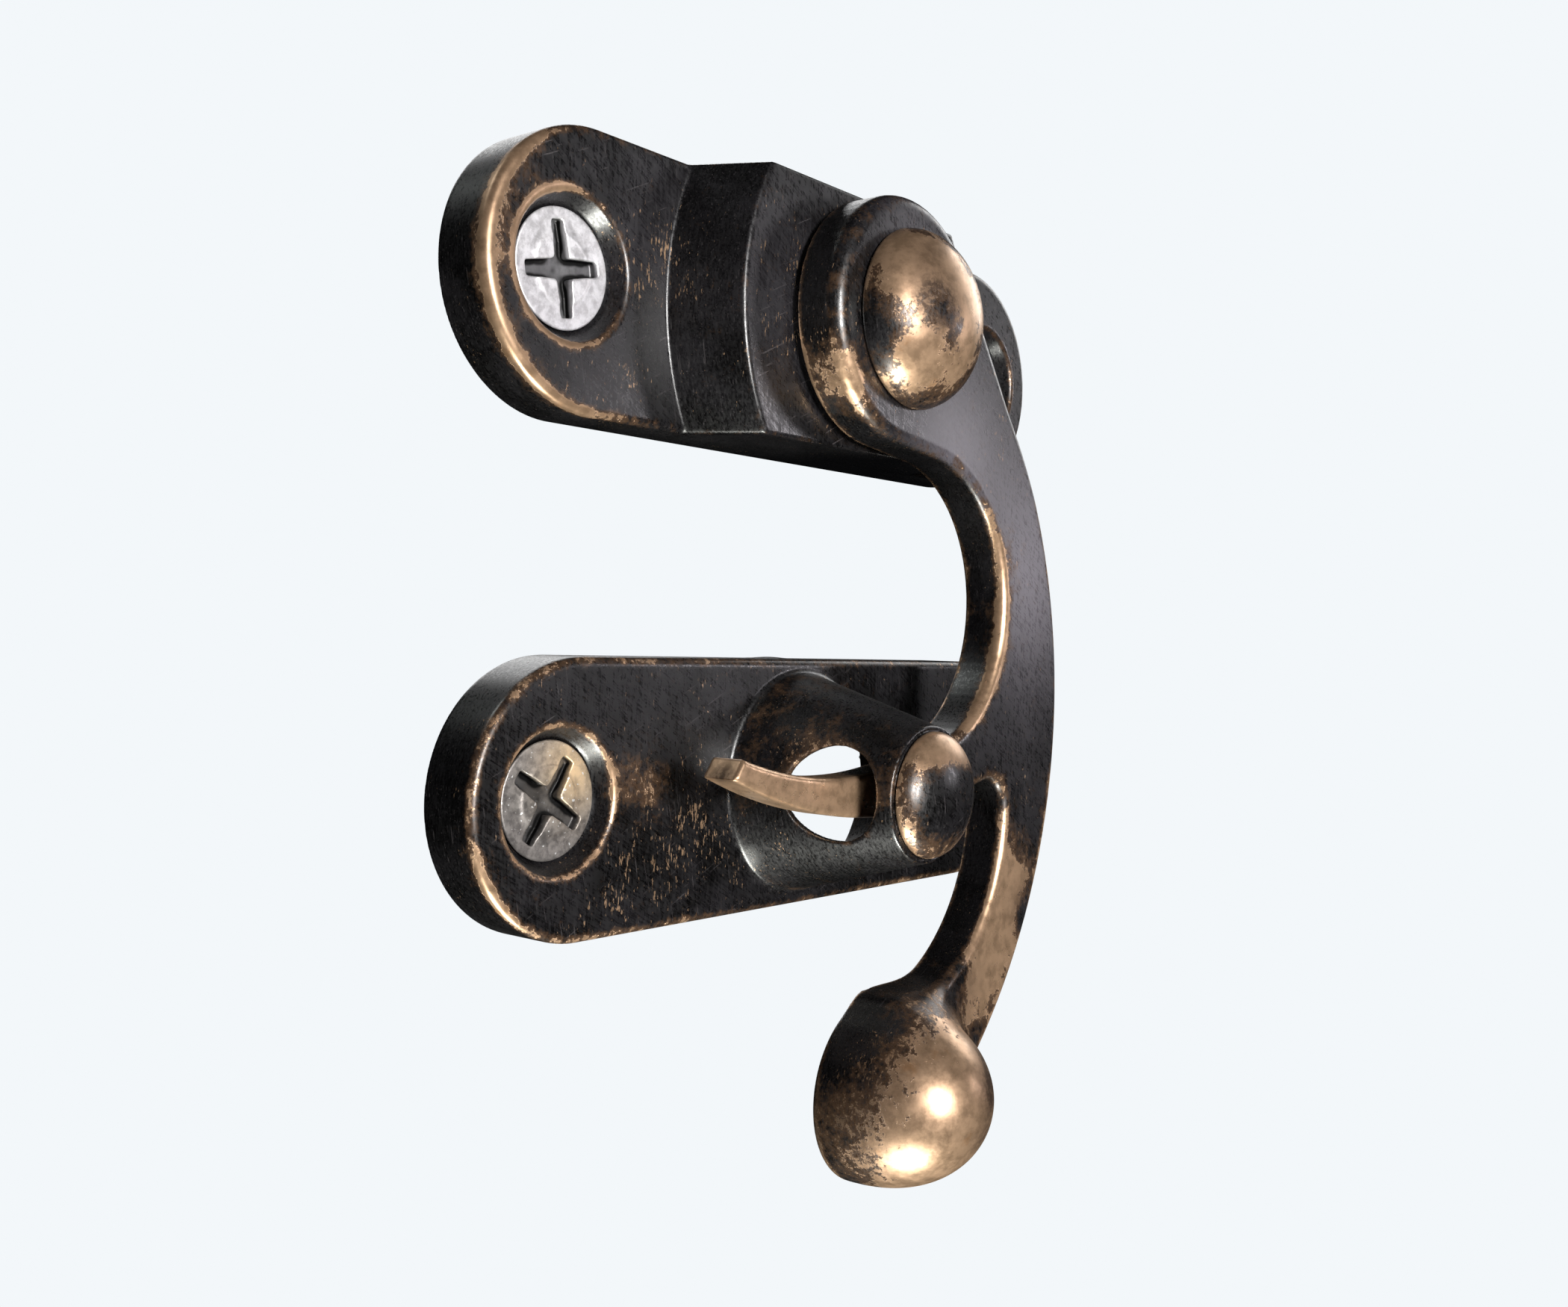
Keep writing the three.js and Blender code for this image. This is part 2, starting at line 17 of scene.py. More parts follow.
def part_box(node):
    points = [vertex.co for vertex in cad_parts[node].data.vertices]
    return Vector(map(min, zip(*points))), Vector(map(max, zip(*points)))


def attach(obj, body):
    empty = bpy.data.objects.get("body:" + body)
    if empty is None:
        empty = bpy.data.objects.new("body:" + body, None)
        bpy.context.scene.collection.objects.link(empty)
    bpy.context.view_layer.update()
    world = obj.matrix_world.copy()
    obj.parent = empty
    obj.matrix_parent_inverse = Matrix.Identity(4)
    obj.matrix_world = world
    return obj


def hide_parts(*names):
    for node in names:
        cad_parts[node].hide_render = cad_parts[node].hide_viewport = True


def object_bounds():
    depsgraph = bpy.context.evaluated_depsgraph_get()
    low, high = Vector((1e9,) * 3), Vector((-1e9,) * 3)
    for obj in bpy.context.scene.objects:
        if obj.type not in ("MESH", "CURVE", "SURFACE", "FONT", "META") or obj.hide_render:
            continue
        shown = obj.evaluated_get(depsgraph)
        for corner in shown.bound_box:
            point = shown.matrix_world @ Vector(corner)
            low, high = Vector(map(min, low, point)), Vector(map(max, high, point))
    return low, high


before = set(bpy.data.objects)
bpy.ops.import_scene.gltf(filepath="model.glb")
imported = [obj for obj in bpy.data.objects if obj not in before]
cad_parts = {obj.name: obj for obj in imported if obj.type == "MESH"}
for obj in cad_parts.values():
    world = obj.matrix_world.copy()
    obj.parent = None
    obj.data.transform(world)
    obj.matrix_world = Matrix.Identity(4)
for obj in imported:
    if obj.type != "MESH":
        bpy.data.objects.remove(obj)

cad_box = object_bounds()

MM = 0.001

# ---------------------------------------------------------------------------
# Sizes, in millimetres
# ---------------------------------------------------------------------------


def centre_of(node):
    low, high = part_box(node)
    return (low + high) / 2 / MM


def front_of(node):
    """How far a node stands out of the wall."""
    return -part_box(node)[0].y / MM


POST_PLACE = centre_of("post_cap")
PIVOT_Y = centre_of("pivot_rivet").z - POST_PLACE.z
SCREW_X = centre_of("catch_screw_right").x
PLATE_HALF_LENGTH = (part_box("catch_plate")[1].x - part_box("catch_plate")[0].x) / MM / 2
PLATE_HALF_WIDTH = (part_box("catch_plate")[1].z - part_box("catch_plate")[0].z) / MM / 2
PLATE_FRONT = 2.04
PLATE_ROUNDING = 0.25
BOSS_FRONT = front_of("pivot_plate")
BOSS_CONE_SHIFT = 1.8
BOSS_FOOT_RADIUS = 8.86
BOSS_TOP_RADIUS = 7.87
BOSS_ROUNDING = 0.09
TAIL_POCKET_RADIUS = 2.6
TAIL_POCKET_FRONT = 1.12
RIVET_HOLE_RADIUS = 1.24

COUNTERSINK_RADIUS = 2.13
HEAD_RADIUS = 1.73
HEAD_FRONT = front_of("catch_screw_left")
HEAD_SEAT_RADIUS = 1.85
SCREW_HOLE_RADIUS = 1.15
COUNTERSINK_ROUNDING = 0.09

SCREW_TIP = -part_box("catch_screw_left")[1].y / MM
CREST_RADIUS = 0.95
CORE_RADIUS = 0.68
THREAD_PITCH = 0.8
THREAD_FRONT = -0.1
POINT_LENGTH = 1.5
HEAD_LIP = 0.08
HEAD_BACK = -0.2
CROSS_HALF_LENGTH = 1.38
CROSS_HALF_WIDTH = 0.22
CROSS_FLARE = 0.085
CROSS_DEPTH = 0.3
CROSS_PIT_RADIUS = 0.8
CROSS_PIT_DEPTH = 0.12

POST_FRONT = front_of("catch_plate")
POST_FOOT_RADIUS = 3.65
POST_TOP_RADIUS = 2.15
BORE_FOOT_RADIUS = 3.4
BORE_TOP_RADIUS = 1.7
HOLE_HEIGHT = 5.3
HOLE_RADIUS = 1.535
HOLE_TAPER = 0.0233
CORE_BACK_RADIUS = 6.9
CORE_GAP = 0.06
CAP_JOINT_GAP = 0.02
CAP_JOINT_RADIUS = 0.05

ARM_BACK = 4.5
ARM_FRONT = 6.1
PRONG_BACK = 4.6
PRONG_FRONT = 5.9
PRONG_ROUNDING = 0.16
LIMB_ROUNDING = 0.34
EYE_EXTRA_ROUNDING = 0.16
PRONG_FILLET = 0.3
ARM_BORE_RADIUS = 1.27
ARM_POCKET_RADIUS = 2.35
ARM_POCKET_DEPTH = 0.14
EYE = ((0.0, PIVOT_Y), 3.93)
OUTER_EDGE = ((-6.6, 2.37), 16.7)
UPPER_SCALLOP = ((1.25, 6.03), 4.83)
LOWER_SCALLOP = ((0.5, -1.12), 5.99)
PRONG_TOP_LOW_POINT = (-2.5, 0.56)
PRONG_LOWER_EDGE = ((-0.3, 18.2), 19.0)
PRONG_TIP_TOP = -7.4
PRONG_TIP_LOWER = -7.8
ROOT_FILLET = 0.9
ROOT_END = 3.3

BALL_CENTRE = (1.0, -9.93)
BALL_RADIUS = 3.06
EGG_FULLNESS = 2.3
BALL_NECK = 1.3

RIVET_BASE = 6.14
RIVET_RADIUS = 2.84
SHANK_RADIUS = 1.2
SHANK_BACK = 0.3
SHANK_OVERLAP = 0.3
RIVET_TAIL_RADIUS = 1.85
RIVET_TAIL_FRONT = 0.6
CAP_RADIUS = 2.0
CAP_PLUG_BACK = 6.94
CAP_PLUG_GAP = 0.04
WASHER_BORE_RADIUS = 1.26

# ---------------------------------------------------------------------------
# Distance functions
# ---------------------------------------------------------------------------


def rounded_both(a, b, radius):
    """Inside both shapes, with the edge between them rounded."""
    corner = np.hypot(np.maximum(a + radius, 0), np.maximum(b + radius, 0))
    return np.minimum(np.maximum(a, b), -radius) + corner


def rounded_either(a, b, radius):
    """Inside one shape or the other, with a fillet where they meet."""
    return -rounded_both(-a, -b, radius)


def rounded_cut(a, b, radius):
    """The first shape without the second, with the rim rounded."""
    return rounded_both(a, -b, radius)


def blended(a, b, width):
    """Both shapes run together over a soft neck."""
    share = np.maximum(width - np.abs(a - b), 0) / width
    return np.minimum(a, b) - share * share * width / 4


def slab(plan, z, back, front, rounding, back_rounding=0.12):
    """A plan's distance made into a slab between two heights."""
    return np.maximum(
        rounded_both(plan, z - front, rounding),
        rounded_both(plan, back - z, back_rounding),
    )


def cone(radius, z, low, low_radius, high, high_radius):
    """Inside the flank of a cone; it has no ends."""
    slope = (high_radius - low_radius) / (high - low)
    return (radius - low_radius - slope * (z - low)) / math.hypot(1, slope)


def dome(x, y, z, radius, base, height):
    """An ellipsoid about the z axis."""
    flat = (x * x + y * y) / radius**2
    scaled = np.sqrt(flat + ((z - base) / height) ** 2)
    steep = np.sqrt(flat / radius**2 + (z - base) ** 2 / height**4)
    return scaled * (scaled - 1) / np.maximum(steep, 1e-6)


def egg(x, y, z, radius, base, height):
    """Like half an ellipsoid, but fuller towards its base."""
    flat = np.hypot(x, y)
    rise = np.maximum((z - base) / height, 0)
    scaled = np.sqrt((flat / radius) ** 2 + rise**EGG_FULLNESS)
    steep = np.hypot(2 * flat / radius**2, EGG_FULLNESS * rise ** (EGG_FULLNESS - 1) / height)
    return 2 * scaled * (scaled - 1) / np.maximum(steep, 0.05)


def stadium(x, y):
    reach = PLATE_HALF_LENGTH - PLATE_HALF_WIDTH
    return np.hypot(np.maximum(np.abs(x) - reach, 0), y) - PLATE_HALF_WIDTH


# ---------------------------------------------------------------------------
# Outlines of the arm and its prong
# ---------------------------------------------------------------------------

ARC_POINTS = 40
MAP_STEP = 0.05


def angle_of(start, end):
    return math.atan2(end[1] - start[1], end[0] - start[0])


def apart(a, b):
    return math.hypot(b[0] - a[0], b[1] - a[1])


def arc(circle, start, end, clockwise=False):
    (x, y), radius = circle
    sweep = (end - start) % (2 * math.pi) - (2 * math.pi if clockwise else 0)
    turn = np.linspace(start, start + sweep, ARC_POINTS)
    return np.stack([x + radius * np.cos(turn), y + radius * np.sin(turn)], 1)


def lower_angle(circle, x):
    return -math.acos((x - circle[0][0]) / circle[1])


def lower_point(circle, x):
    (cx, cy), radius = circle
    return (x, cy - math.sqrt(radius**2 - (x - cx) ** 2))


def right_crossing(first, second):
    """The crossing of two circles that lies further to the right."""
    (centre, radius), (other, other_radius) = first, second
    gap = apart(centre, other)
    along = (gap**2 + radius**2 - other_radius**2) / (2 * gap)
    across = math.sqrt(radius**2 - along**2)
    heading = angle_of(centre, other)
    crossings = [
        (
            centre[0] + along * math.cos(heading) - side * across * math.sin(heading),
            centre[1] + along * math.sin(heading) + side * across * math.cos(heading),
        )
        for side in (1, -1)
    ]
    return max(crossings)


def prong_top_edge():
    """The arc through the prong's low point that the upper scallop runs into smoothly."""
    low_x, low_y = PRONG_TOP_LOW_POINT
    (x, y), scallop = UPPER_SCALLOP
    across, above = low_x - x, low_y - y
    radius = (scallop**2 - across**2 - above**2) / (2 * (above + scallop))
    return (low_x, low_y + radius), radius


PRONG_TOP = prong_top_edge()
PRONG_TOP_START = angle_of(PRONG_TOP[0], UPPER_SCALLOP[0])


def limb_outline():
    """Eye, curved limb and the root of the prong, ending inside the ball."""
    outside = angle_of(OUTER_EDGE[0], EYE[0]) - math.acos(
        (OUTER_EDGE[1] - EYE[1]) / apart(OUTER_EDGE[0], EYE[0])
    )
    inside = angle_of(EYE[0], UPPER_SCALLOP[0]) - math.acos(
        (EYE[1] + UPPER_SCALLOP[1]) / apart(EYE[0], UPPER_SCALLOP[0])
    )
    inner_scallop = (LOWER_SCALLOP[0], LOWER_SCALLOP[1] - ROOT_FILLET)
    under_prong = (PRONG_LOWER_EDGE[0], PRONG_LOWER_EDGE[1] + ROOT_FILLET)
    fillet = (right_crossing(inner_scallop, under_prong), ROOT_FILLET)
    fillet_start = angle_of(fillet[0], PRONG_LOWER_EDGE[0])
    fillet_end = angle_of(LOWER_SCALLOP[0], fillet[0])
    ball_end = lower_angle(OUTER_EDGE, BALL_CENTRE[0] + 0.94 * BALL_RADIUS)
    return np.concatenate(
        [
            arc(EYE, outside, inside),
            arc(UPPER_SCALLOP, inside + math.pi, PRONG_TOP_START, clockwise=True),
            [lower_point(PRONG_LOWER_EDGE, ROOT_END)],
            arc(fillet, fillet_start, fillet_end, clockwise=True),
            arc(LOWER_SCALLOP, fillet_end, -math.pi / 2, clockwise=True),
            [BALL_CENTRE],
            arc(OUTER_EDGE, ball_end, outside),
        ]
    )


def prong_outline():
    root = ROOT_END + ROOT_FILLET
    return np.concatenate(
        [
            [(root, lower_point(PRONG_TOP, ROOT_END)[1])],
            arc(PRONG_TOP, PRONG_TOP_START, lower_angle(PRONG_TOP, PRONG_TIP_TOP), clockwise=True),
            arc(
                PRONG_LOWER_EDGE,
                lower_angle(PRONG_LOWER_EDGE, PRONG_TIP_LOWER),
                lower_angle(PRONG_LOWER_EDGE, root),
            ),
        ]
    )


class OutlineMap:
    """The signed distance to a closed outline, kept on a fine flat grid."""

    def __init__(self, outline, margin=2.0):
        self.low = outline.min(0) - margin
        count = np.ceil((outline.max(0) + margin - self.low) / MAP_STEP).astype(int)
        self.count = count
        x = self.low[0] + MAP_STEP * np.arange(count[0])[:, None]
        y = self.low[1] + MAP_STEP * np.arange(count[1])[None, :]
        nearest = np.full(count, np.inf)
        inside = np.zeros(count, bool)
        for (ax, ay), (bx, by) in zip(outline, np.roll(outline, -1, 0)):
            dx, dy = bx - ax, by - ay
            if dx * dx + dy * dy < 1e-12:
                continue
            along = np.clip(((x - ax) * dx + (y - ay) * dy) / (dx * dx + dy * dy), 0, 1)
            away = (x - ax - along * dx) ** 2 + (y - ay - along * dy) ** 2
            np.minimum(nearest, away, out=nearest)
            if ay != by:
                inside ^= ((ay > y) != (by > y)) & (x < ax + (y - ay) * dx / dy)
        self.values = np.sqrt(nearest) * np.where(inside, -1, 1)

    def __call__(self, x, y):
        u = np.clip((x - self.low[0]) / MAP_STEP, 0, self.count[0] - 1.001)
        v = np.clip((y - self.low[1]) / MAP_STEP, 0, self.count[1] - 1.001)
        i, j = u.astype(int), v.astype(int)
        s, t = u - i, v - j
        grid = self.values
        low = grid[i, j] * (1 - s) + grid[i + 1, j] * s
        high = grid[i, j + 1] * (1 - s) + grid[i + 1, j + 1] * s
        return low * (1 - t) + high * t


LIMB_MAP = OutlineMap(limb_outline())
PRONG_MAP = OutlineMap(prong_outline())

# ---------------------------------------------------------------------------
# Shapes of the pieces
# ---------------------------------------------------------------------------


def countersink(x, y, z):
    radius = np.hypot(x, y)
    flare = (COUNTERSINK_RADIUS - HEAD_SEAT_RADIUS) / (PLATE_FRONT - HEAD_FRONT)
    upper = HEAD_SEAT_RADIUS + flare * (z - HEAD_FRONT)
    lower = HEAD_SEAT_RADIUS + (z - HEAD_FRONT)
    wall = np.maximum(SCREW_HOLE_RADIUS, np.minimum(upper, lower))
    return (radius - wall) / math.hypot(1, flare)


def plain_plate(x, y, z):
    return slab(stadium(x, y), z, 0, PLATE_FRONT, PLATE_ROUNDING)


def with_screw_holes(body, x, y, z):
    for side in (-1, 1):
        body = rounded_cut(body, countersink(x - side * SCREW_X, y, z), COUNTERSINK_ROUNDING)
    return body


def pivot_plate(x, y, z):
    y = y - PIVOT_Y
    ramps = np.maximum(
        *[
            cone(
                np.hypot(x - shift, y), z, PLATE_FRONT, BOSS_FOOT_RADIUS, BOSS_FRONT, BOSS_TOP_RADIUS
            )
            for shift in (BOSS_CONE_SHIFT, -BOSS_CONE_SHIFT)
        ]
    )
    boss = rounded_both(ramps, z - BOSS_FRONT, BOSS_ROUNDING)
    boss = rounded_both(boss, np.abs(y) - PLATE_HALF_WIDTH, 0.1)
    boss = np.maximum(boss, 0.3 - z)
    body = rounded_either(plain_plate(x, y, z), boss, 0.05)
    radius = np.hypot(x, y)
    pocket = rounded_both(radius - TAIL_POCKET_RADIUS, z - TAIL_POCKET_FRONT, 0.1)
    rivet_hole = np.minimum(pocket, radius - RIVET_HOLE_RADIUS)
    return with_screw_holes(np.maximum(body, -rivet_hole), x, y, z)


def catch_plate(x, y, z):
    radius = np.hypot(x, y)
    flank = cone(radius, z, PLATE_FRONT, POST_FOOT_RADIUS, POST_FRONT, POST_TOP_RADIUS)
    post = rounded_both(flank, z - POST_FRONT, 0.07)
    body = rounded_either(plain_plate(x, y, z), np.maximum(post, 0.5 - z), 0.16)
    groove = np.hypot(radius - CAP_RADIUS - CAP_JOINT_GAP, z - POST_FRONT) - CAP_JOINT_RADIUS
    bore = cone(radius, z, PLATE_FRONT, BORE_FOOT_RADIUS + CORE_GAP, POST_FRONT, BORE_TOP_RADIUS)
    bore = np.maximum(bore, PLATE_FRONT - 0.3 - z)
    core = cone(radius, z, 0, CORE_BACK_RADIUS, PLATE_FRONT, BORE_FOOT_RADIUS)
    core = rounded_both(core, np.abs(y) - BORE_FOOT_RADIUS, 0.3)
    core = np.maximum(core, z - PLATE_FRONT)
    hole = np.hypot(y, z - HOLE_HEIGHT) - HOLE_RADIUS - HOLE_TAPER * x
    body = np.maximum(body, -np.minimum(np.minimum(bore, core), groove))
    body = rounded_cut(body, hole, 0.07)
    return with_screw_holes(body, x, y, z)


def swing_arm(x, y, z):
    near_eye = np.clip((y - 10.0) / 3.0, 0, 1)
    limb_rounding = LIMB_ROUNDING + EYE_EXTRA_ROUNDING * near_eye
    limb = slab(LIMB_MAP(x, y), z, ARM_BACK, ARM_FRONT, limb_rounding, 0.1)
    prong = slab(PRONG_MAP(x, y), z, PRONG_BACK, PRONG_FRONT, PRONG_ROUNDING, PRONG_ROUNDING)
    bx, by = x - BALL_CENTRE[0], y - BALL_CENTRE[1]
    ball = egg(bx, by, z, BALL_RADIUS, ARM_BACK, front_of("swing_arm") - ARM_BACK)
    ball = rounded_both(ball, ARM_BACK - z, 0.1)
    body = rounded_either(limb, prong, PRONG_FILLET)
    body = np.maximum(blended(body, ball, BALL_NECK), ARM_BACK - z)
    radius = np.hypot(x, y - PIVOT_Y)
    pocket = rounded_both(radius - ARM_POCKET_RADIUS, z - ARM_BACK - ARM_POCKET_DEPTH, 0.05)
    return np.maximum(body, -np.minimum(pocket, radius - ARM_BORE_RADIUS))


def pivot_rivet(x, y, z):
    y = y - PIVOT_Y
    radius = np.hypot(x, y)
    height = front_of("pivot_rivet") - RIVET_BASE
    head = rounded_both(dome(x, y, z, RIVET_RADIUS, RIVET_BASE, height), RIVET_BASE - z, 0.1)
    shank = np.maximum(radius - SHANK_RADIUS, np.maximum(SHANK_BACK - z, z - RIVET_BASE - SHANK_OVERLAP))
    tail = rounded_both(radius - RIVET_TAIL_RADIUS, -z, 0.28)
    tail = rounded_both(tail, z - RIVET_TAIL_FRONT, 0.06)
    return np.minimum(np.minimum(head, shank), tail)


def post_cap(x, y, z):
    radius = np.hypot(x, y)
    base = POST_FRONT + CAP_JOINT_GAP
    crown = dome(x, y, z, CAP_RADIUS, base, front_of("post_cap") - base)
    crown = rounded_both(crown, base - z, 0.05)
    plug_flank = radius - BORE_TOP_RADIUS + CAP_PLUG_GAP
    plug = np.maximum(plug_flank, np.maximum(CAP_PLUG_BACK - z, z - base - 0.2))
    return np.minimum(crown, plug)


def washer(outer, back, front):
    def shape(x, y, z):
        radius = np.hypot(x, y - PIVOT_Y)
        middle, half = (outer + WASHER_BORE_RADIUS) / 2, (outer - WASHER_BORE_RADIUS) / 2
        ring = np.abs(radius - middle) - half
        return rounded_both(ring, np.abs(z - (back + front) / 2) - (front - back) / 2, 0.05)

    return shape


def cross_slot(along, across):
    """One bar of the cross recess, a little wider towards its middle."""
    half_width = CROSS_HALF_WIDTH + CROSS_FLARE * np.clip(1 - np.abs(along) / CROSS_HALF_LENGTH, 0, 1)
    return rounded_both(np.abs(along) - CROSS_HALF_LENGTH, np.abs(across) - half_width, 0.09)


def wood_screw(x, y, z):
    """A countersunk wood screw about its own axis, z out of the wall."""
    radius = np.hypot(x, y)
    taper = np.clip((z - SCREW_TIP) / POINT_LENGTH, 0, 1) ** 0.7
    phase = (z / THREAD_PITCH - np.arctan2(y, x) / (2 * math.pi)) % 1
    crest = np.clip(1 - np.abs(phase - 0.5) / 0.24, 0, 1) ** 1.3
    thread_end = np.clip((THREAD_FRONT - z) / 0.5, 0, 1)
    core = CORE_RADIUS + (CREST_RADIUS - CORE_RADIUS) * crest * thread_end
    smooth_neck = (CREST_RADIUS - CORE_RADIUS) * (1 - thread_end) * 0.8
    shank = (radius - (core + smooth_neck) * taper) * 0.6
    shank = np.maximum(shank, np.maximum(SCREW_TIP - z, z - HEAD_FRONT))
    flank = (radius - HEAD_RADIUS + HEAD_FRONT - HEAD_LIP - z) * 0.707
    head = rounded_both(flank, z - HEAD_FRONT, 0.06)
    head = rounded_both(head, radius - HEAD_RADIUS, 0.05)
    head = np.maximum(head, HEAD_BACK - z)
    body = blended(shank, head, 0.2)
    cross = blended(cross_slot(x, y), cross_slot(y, x), 0.12)
    pit = CROSS_PIT_DEPTH * np.clip(1 - radius / CROSS_PIT_RADIUS, 0, 1)
    floor = HEAD_FRONT - CROSS_DEPTH - pit
    recess = rounded_both(cross, floor - z, 0.03)
    return rounded_cut(body, recess, 0.02)


# ---------------------------------------------------------------------------
# Meshing a distance function
# ---------------------------------------------------------------------------

SKIN_CORRECTIONS = 3
CORNERS = np.array([(i, j, k) for i in (0, 1) for j in (0, 1) for k in (0, 1)])
CELL_EDGES = [
    (a, b)
    for a in range(8)
    for b in range(a + 1, 8)
    if np.abs(CORNERS[a] - CORNERS[b]).sum() == 1
]


def gradient(shape, points, step=0.01):
    """The distance function's slope at each point."""
    slopes = []
    for axis in range(3):
        offset = np.zeros(3)
        offset[axis] = step
        ahead = shape(*(points + offset).T)
        behind = shape(*(points - offset).T)
        slopes.append((ahead - behind) / (2 * step))
    return np.stack(slopes, 1)


def skin(shape, low, high, spacing):
    """Vertices and quads on the zero level of a distance function: one vertex in each cell it crosses."""
    low, high = np.array(low, float) - 2.5 * spacing, np.array(high, float) + 2.5 * spacing
    count = np.ceil((high - low) / spacing).astype(int) + 1
    axes = [low[i] + spacing * np.arange(count[i]) for i in range(3)]
    field = shape(axes[0][:, None, None], axes[1][None, :, None], axes[2][None, None, :])
    field = np.ascontiguousarray(np.broadcast_to(field, count), dtype=np.float32)
    inside = field < 0
    mixed = np.zeros(count - 1, np.int8)
    for i, j, k in CORNERS:
        mixed += inside[i : i + count[0] - 1, j : j + count[1] - 1, k : k + count[2] - 1]
    cells = np.argwhere((mixed > 0) & (mixed < 8))
    number = np.full(count - 1, -1, np.int64)
    number[tuple(cells.T)] = np.arange(len(cells))
    values = [field[tuple((cells + corner).T)] for corner in CORNERS]
    total, crossings = np.zeros((len(cells), 3)), np.zeros(len(cells))
    for a, b in CELL_EDGES:
        crossed = (values[a] < 0) != (values[b] < 0)
        share = values[a][crossed] / (values[a][crossed] - values[b][crossed])
        total[crossed] += CORNERS[a] + share[:, None] * (CORNERS[b] - CORNERS[a])
        crossings[crossed] += 1
    points = low + spacing * (cells + total / crossings[:, None])
    quads = []
    for axis in range(3):
        one, two = [i for i in range(3) if i != axis]
        ahead = np.roll(inside, -1, axis)
        flips = inside != ahead
        flips[tuple(slice(-1, None) if i == axis else slice(None) for i in range(3))] = False
        at = np.argwhere(flips)
        step_one, step_two = np.eye(3, dtype=int)[one], np.eye(3, dtype=int)[two]
        ring = [at - step_one - step_two, at - step_two, at, at - step_one]
        quad = np.stack([number[tuple(corner.T)] for corner in ring], 1)
        leaves = inside[tuple(at.T)] == (axis != 1)
        quads.append(np.where(leaves[:, None], quad, quad[:, ::-1]))
    for _ in range(SKIN_CORRECTIONS):
        slope = gradient(shape, points)
        push = shape(*points.T) / np.maximum((slope**2).sum(1), 0.05)
        points -= np.clip(push, -0.5 * spacing, 0.5 * spacing)[:, None] * slope
    return points, np.concatenate(quads)


DIRECTIONS = np.concatenate([np.eye(3), -np.eye(3), (CORNERS * 2 - 1) / math.sqrt(3)])


def sharpness(shape, points, reach):
    """How much a skin bulges at each point: 0 when flat, positive on an edge, negative in a corner."""
    total = sum(shape(*(points + reach * way).T) for way in DIRECTIONS)
    return total / (len(DIRECTIONS) * reach)


def spots(points, places):
    """Soft round patches: each place is a centre, a radius and a strength."""
    total = np.zeros(len(points))
    for centre, radius, strength in places:
        away = ((points - np.array(centre)) ** 2).sum(1)
        total += strength * np.exp(-away / radius**2)
    return total


def place(points):
    """Face-frame millimetres as metres in the CAD frame."""
    x, y, z = points.T
    return np.stack([x, -z, y + POST_PLACE.z], 1) * MM


def make_piece(name, node, body, material, points, quads, layers):
    mesh = bpy.data.meshes.new(name)
    mesh.from_pydata(place(points).tolist(), [], quads.tolist())
    for layer, values in layers.items():
        attribute = mesh.attributes.new(layer, "FLOAT", "POINT")
        attribute.data.foreach_set("value", values.astype(np.float32))
    mesh.polygons.foreach_set("use_smooth", np.ones(len(mesh.polygons), bool))
    mesh.materials.append(material)
    mesh.update()
    piece = bpy.data.objects.new(name, mesh)
    bpy.context.scene.collection.objects.link(piece)
    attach(piece, body)
    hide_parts(node)


# ---------------------------------------------------------------------------
# Materials
# ---------------------------------------------------------------------------


